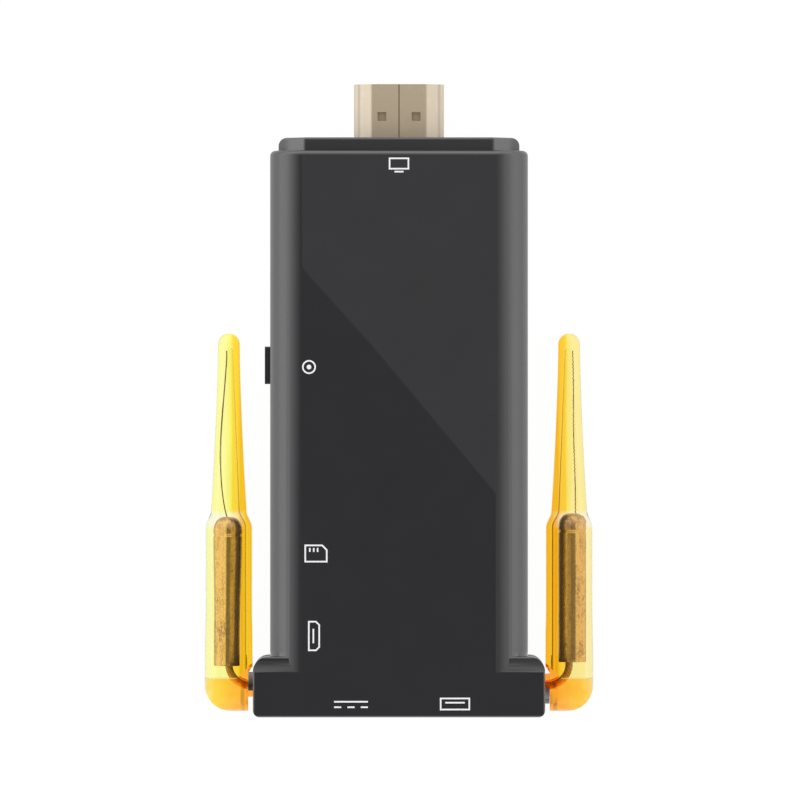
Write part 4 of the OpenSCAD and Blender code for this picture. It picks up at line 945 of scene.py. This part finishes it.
class STICK_OT_board(Operator):
    """Finish the board and what stands on it"""

    bl_idname = "stick.board"
    bl_label = "Board"

    def execute(self, context):
        c = context.scene.stick_colours
        dress(lacquered_board("board_green_lacquer", c.board), "main_board")
        chip = satin_plastic("chip_black", (0.018, 0.018, 0.02), 0.5, 0.08 * MM, 0.004 * MM)
        dress(chip, "processor", "memory_chips", "flash_chip", "power_chip", "chokes")
        dress(satin_plastic("capacitor_ceramic", (0.32, 0.2, 0.1), 0.45), "capacitors")
        dress(brushed_metal("lid_tinned", (0.66, 0.67, 0.69), 0.24), "crystal", "wireless_module")
        dress(satin_plastic("thermal_pad_soft", (0.22, 0.31, 0.4), 0.7), "thermal_pad")
        dress(brushed_metal("heat_sink_aluminium", (0.7, 0.71, 0.73), 0.3), "heat_sink")
        dress(satin_plastic("switch_white", (0.7, 0.7, 0.68), 0.4), "fn_switch_body")
        dress(satin_plastic("plunger_grey", (0.14, 0.14, 0.14), 0.4), "fn_switch_plunger")
        jacket = satin_plastic("feed_cable_grey", (0.035, 0.035, 0.038), 0.4)
        dress(jacket, "left_feed_cable", "right_feed_cable")
        return {"FINISHED"}


class STICK_OT_antennas(Operator):
    """Build the amber tubes and finish the knuckles"""

    bl_idname = "stick.antennas"
    bl_label = "Antennas"

    def execute(self, context):
        s, c = context.scene.stick_sizes, context.scene.stick_colours
        between = [math.sqrt(m * d) for m, d in zip(c.amber, c.amber_deep)]
        inner = shade(c.amber_deep, 1.15)
        # The stops paint light and shade across the tube: the painted shaded inner side with a
        # darker painted line near the bore, the painted lit outer side, and a painted highlight at
        # the outer rim
        amber = amber_plastic(
            "amber_clear",
            [(0.0, inner), (0.19, inner), (0.25, shade(c.amber_deep, 0.84)), (0.32, between),
             (0.42, shade(between, 1.06)), (0.47, c.amber), (0.56, c.amber_lit_pale),
             (0.86, c.amber_lit_pale), (1.0, shade(c.amber_lit_pale, 1.8))],
        )
        # The knuckle's stops paint the same light and shade, with a painted highlight towards its
        # outer side
        deep = amber_plastic(
            "amber_deep",
            [(0.0, c.knuckle_deep_shaded), (0.5, c.knuckle), (0.78, shade(c.knuckle, 1.2)),
             (0.97, c.knuckle_lit_pale)],
            rough=0.12, mottle=0.5, hub=0.75,
        )
        clear = bore_plastic("bore_clear", (1.0, 1.0, 0.93))
        for word, side in SIDES.items():
            cutters = [at_antenna(bm, side) for bm in hinge_cutters()]
            body = turned(tube_outline(s), s.tube_sides)
            tube = antenna_piece(body, word, "tube", amber)
            carve(tube, cutters)
            line_bore(tube, clear, side)
            crisp(tube)
            dress(deep, f"{word}_antenna_knuckle")
        return {"FINISHED"}


class STICK_OT_cores(Operator):
    """Build the brass sleeves, fine wires and leads inside the antennas"""

    bl_idname = "stick.cores"
    bl_label = "Antenna cores"

    def sleeve(self, s, material, word, turn, lean, shift):
        """A brass sleeve with three flats, slimmer than its solid: the amber enlarges it."""
        flats = ((turn + 4, turn + 62), (turn - 14, turn + 4), (turn - 34, turn - 14))
        bore = s.sleeve_radius - 0.8 * s.sleeve_wall
        bm = turned(sleeve_outline(s), 90)
        for v in bm.verts:
            slim = 0.04
            if word == "left":
                slim = eased(0.0, 0.1, (24 * MM - v.co.y) / (14 * MM))
            spoke = Vector((v.co.x, 0, v.co.z))
            if spoke.length < bore and v.co.y < SLEEVE_DOME:
                spoke *= 0.8
            else:
                angle = math.degrees(math.atan2(v.co.x, abs(v.co.z)))
                dent = noise.noise(v.co * 520 + Vector((SIDES[word] * 7.0, 0, 0)))
                dent += 0.5 * noise.noise(v.co * 1500)
                spoke *= (0.95 - slim) * flattened(angle, flats) * (1 + 0.008 * dent)
            v.co = Vector((spoke.x, v.co.y, spoke.z))
        bm.transform(Matrix.Translation(shift) @ Matrix.Rotation(math.radians(lean), 4, "Z"))
        crisp(antenna_piece(bm, word, "sleeve", material), 40)

    def wire(self, s, material, word):
        """A fine wire in the taper: smooth in the left antenna, wound and uneven in the right."""
        if word == "left":
            bm = swept(bowed_path(), s.wire_radius, 8, 0.2)
        else:
            bm = swept(wound_path(), 0.75 * s.wire_radius, 8, 1.1)
        antenna_piece(bm, word, "wire", material)

    def lead(self, s, material, word):
        """The coaxial lead: out of the sleeve, round the bend and through the hub."""
        reach = lead_reach(f"{word}_antenna_lead")
        points = [Vector((0, LEAD_START - (LEAD_START - LEAD_BEND) * t, 0)) for t in steps(24, 0)]
        for t in steps(14):
            out, up = corner(t)
            points.append(Vector((-LEAD_BEND * (1 - out), LEAD_BEND * (1 - up), 0)))
        points += [Vector((-LEAD_BEND - (reach - LEAD_BEND) * t, 0, 0)) for t in steps(6)]
        bm = swept(points, s.lead_radius, 20, 0.02)
        antenna_piece(bm, word, "lead", material)

    def execute(self, context):
        s, c = context.scene.stick_sizes, context.scene.stick_colours
        brass = aged_brass("sleeve_aged_brass", c.brass, c.tarnish)
        wire = aged_brass("wire_dull_brass", c.wire, shade(c.wire, 0.5))
        braid = braided_lead("lead_brown_braid", c.lead)
        # Turn and lean in degrees, then the shift
        places = {
            "left": (0, 0.45, (0.34 * MM, 0, 0)),
            "right": (10, 0.0, (0.46 * MM, 0.6 * MM, 0)),
        }
        for word, (turn, lean, shift) in places.items():
            self.sleeve(s, brass, word, turn, lean, shift)
            self.wire(s, wire, word)
            self.lead(s, braid, word)
        return {"FINISHED"}


class STICK_OT_marks(Operator):
    """Print the plain marks on the front face"""

    bl_idname = "stick.marks"
    bl_label = "Printed marks"

    def box(self, pen, centre, width, height, cut=0.0):
        """An upright box, with one corner cut off if asked."""
        x, y, w, h = centre.x, centre.y, width / 2, height / 2
        points = [(x - w, y - h), (x + w, y - h), (x + w, y + h - cut)]
        points += [(x + w - cut, y + h)] if cut else []
        points += [(x - w, y + h)]
        pen.line(points, True)

    def screen(self, pen):
        """A screen on its stand, below the video plug."""
        at = face_place(399, 163.5)
        self.box(pen, at, 2.9 * MM, 1.6 * MM)
        pen.line([(at.x - 0.7 * MM, at.y - 1.25 * MM), (at.x + 0.7 * MM, at.y - 1.25 * MM)])

    def round_button(self, pen):
        """A ring with a dot, beside the button."""
        at = face_place(309, 367)
        pen.ring(at, 0.95 * MM)
        pen.dot(at, 0.36 * MM)

    def card(self, pen):
        """A card's outline with its contacts, beside the card slot."""
        at = face_place(316, 553.5)
        self.box(pen, at, 3.3 * MM, 2.5 * MM, 0.7 * MM)
        for k in range(3):
            x = at.x - 0.95 * MM + 0.6 * MM * k
            pen.line([(x, at.y + 0.25 * MM), (x, at.y + 0.85 * MM)])

    def small_socket(self, pen):
        """A small socket's outline, beside the side socket."""
        at = face_place(314, 636)
        w, h, cut = 0.8 * MM, 2.2 * MM, 0.5 * MM
        pen.line(
            [(at.x - w, at.y - h), (at.x + w - cut, at.y - h), (at.x + w, at.y - h + cut),
             (at.x + w, at.y + h - cut), (at.x + w - cut, at.y + h), (at.x - w, at.y + h)], True
        )
        pen.line([(at.x - 0.1 * MM, at.y - 1.1 * MM), (at.x - 0.1 * MM, at.y + 1.1 * MM)])

    def power(self, pen):
        """A full line over a broken one, above the power socket."""
        at = face_place(351, 704.5)
        w = 2.6 * MM
        pen.line([(at.x - w, at.y + 0.42 * MM), (at.x + w, at.y + 0.42 * MM)])
        for k in range(3):
            x = at.x - w + k * 2.05 * MM
            pen.line([(x, at.y - 0.42 * MM), (x + 1.1 * MM, at.y - 0.42 * MM)])

    def wide_socket(self, pen):
        """A wide socket's outline with its tongue, above the data socket."""
        at = face_place(455, 704)
        self.box(pen, at, 4.4 * MM, 1.7 * MM)
        pen.line([(at.x - 1.5 * MM, at.y + 0.2 * MM), (at.x + 1.5 * MM, at.y + 0.2 * MM)])

    def execute(self, context):
        sizes = context.scene.stick_sizes
        ink = printed_ink("print_white_ink", context.scene.stick_colours.ink)
        marks = {
            "mark_screen": self.screen, "mark_button": self.round_button, "mark_card": self.card,
            "mark_small_socket": self.small_socket, "mark_power": self.power,
            "mark_wide_socket": self.wide_socket,
        }
        for name, draw in marks.items():
            pen = Pen(sizes)
            draw(pen)
            mesh_piece(name, pen.bm, ink, "casing", smooth=False)
        return {"FINISHED"}


class STICK_OT_stage(Operator):
    """Set the floor, the light and the camera"""

    bl_idname = "stick.stage"
    bl_label = "Studio"

    def floor(self):
        """A pale floor that shows white to the camera, through the amber and, less so, in gloss.

        It keeps a little of its own shading everywhere, and with it the stick's shadow.
        """
        bm = bmesh.new()
        bmesh.ops.create_grid(bm, x_segments=8, y_segments=8, size=1.5)
        data = bpy.data.meshes.new("floor")
        bm.to_mesh(data)
        bm.free()
        floor = bpy.data.objects.new("floor", data)
        floor.location.z = -0.02 * MM
        bpy.context.scene.collection.objects.link(floor)
        p, at = new_paint("floor_white")
        grain = p.noise(at, 3 * MM, 2.0)
        pale = p.mix(grain, (0.88, 0.88, 0.88), (0.9, 0.9, 0.9))
        card = p.add("ShaderNodeBsdfDiffuse", None, {"Color": pale})
        glow = p.add("ShaderNodeEmission", None, {"Color": (1, 1, 1), "Strength": 1.03})
        camera, through, gloss = p.rays("Camera", "Transmission", "Glossy")
        seen = math_node("MINIMUM", camera + through + 0.85 * gloss, 1.0)
        p.surface(p.add("ShaderNodeMixShader", None, {0: 0.94 * seen, 1: card, 2: glow}))
        data.materials.append(p.owner)

    def world(self, stage):
        """Bright walls all round under a dark zenith, and plain white for the camera."""
        world = bpy.data.worlds.new("studio")
        bpy.context.scene.world = world
        p = Paint(world)
        direction = p.add("ShaderNodeTexCoord", output="Generated")
        right, _, up = p.axes(direction)
        walls = stage.horizon - stage.fall_off * right.step(0.0, 0.5)
        light = (1.0 - up * up) ** 0.9 * walls + stage.zenith
        camera = p.rays("Camera")[0]
        shown = p.add("ShaderNodeMix", {"data_type": "FLOAT"}, {0: camera, 2: light, 3: 1.0})
        p.surface(p.add("ShaderNodeBackground", None, {"Color": (1, 1, 1), "Strength": shown}))

    def sheen_card(self, stage):
        """A card above the camera whose edge is mirrored in the glossy face as a slanting line."""
        height, size = 0.72, 0.8
        one, two = face_place(270, 240), face_place(527, 520)
        middle = (one + two) / 2 * (1 + (height - FACE) / (self.distance - FACE))
        way = (two - one).normalized()
        lamp = bpy.data.lights.new("sheen_card", "AREA")
        lamp.shape = "SQUARE"
        lamp.size = size
        lamp.energy = stage.sheen * math.pi * size * size
        card = bpy.data.objects.new("sheen_card", lamp)
        outward = Vector((abs(way.y), abs(way.x)))
        centre = middle + outward * (size / 2)
        card.location = (centre.x, centre.y, height)
        card.rotation_euler = (0, 0, math.atan2(way.y, way.x))
        card.visible_camera = False
        bpy.context.scene.collection.objects.link(card)

    def camera(self, stage):
        """A long lens straight above the face."""
        data = bpy.data.cameras.new("camera")
        data.lens = stage.lens * 1000
        data.sensor_width = 36
        data.clip_start, data.clip_end = 0.01, 10
        camera = bpy.data.objects.new("camera", data)
        self.distance = stage.view_width * data.lens / data.sensor_width + FACE
        at = face_place(400, 400)
        camera.location = (at.x, at.y, self.distance)
        bpy.context.scene.collection.objects.link(camera)
        bpy.context.scene.camera = camera

    def execute(self, context):
        stage = context.scene.stick_stage
        context.scene.view_settings.view_transform = "Standard"
        self.camera(stage)
        self.floor()
        self.world(stage)
        self.sheen_card(stage)
        return {"FINISHED"}


OPERATORS = (
    STICK_OT_case, STICK_OT_plug, STICK_OT_sockets, STICK_OT_board, STICK_OT_antennas,
    STICK_OT_cores, STICK_OT_marks, STICK_OT_stage,
)


class STICK_PT_panel(Panel):
    """Lists the stick's pieces and their sizes and colours"""

    bl_label = "Streaming Stick"
    bl_idname = "STICK_PT_panel"
    bl_space_type = "VIEW_3D"
    bl_region_type = "UI"
    bl_category = "Stick"

    def draw(self, context):
        for operator in OPERATORS:
            self.layout.operator(operator.bl_idname)
        scene = context.scene
        for group in (scene.stick_sizes, scene.stick_colours, scene.stick_stage):
            column = self.layout.box().column()
            for key in group.__annotations__:
                column.prop(group, key)


GROUPS = (StickSizes, StickColours, StickStage)


def register():
    """Makes the settings, the operators and the panel known."""
    for cls in (*GROUPS, *OPERATORS, STICK_PT_panel):
        bpy.utils.register_class(cls)
    bpy.types.Scene.stick_sizes = PointerProperty(type=StickSizes)
    bpy.types.Scene.stick_colours = PointerProperty(type=StickColours)
    bpy.types.Scene.stick_stage = PointerProperty(type=StickStage)


def unregister():
    """Takes them out again."""
    del bpy.types.Scene.stick_stage
    del bpy.types.Scene.stick_colours
    del bpy.types.Scene.stick_sizes
    for cls in reversed((*GROUPS, *OPERATORS, STICK_PT_panel)):
        bpy.utils.unregister_class(cls)


def main():
    """Builds the stick piece by piece, then the studio."""
    register()
    bpy.ops.stick.case()
    bpy.ops.stick.plug()
    bpy.ops.stick.sockets()
    bpy.ops.stick.board()
    bpy.ops.stick.antennas()
    bpy.ops.stick.cores()
    bpy.ops.stick.marks()
    bpy.ops.stick.stage()


if __name__ == "__main__":
    main()
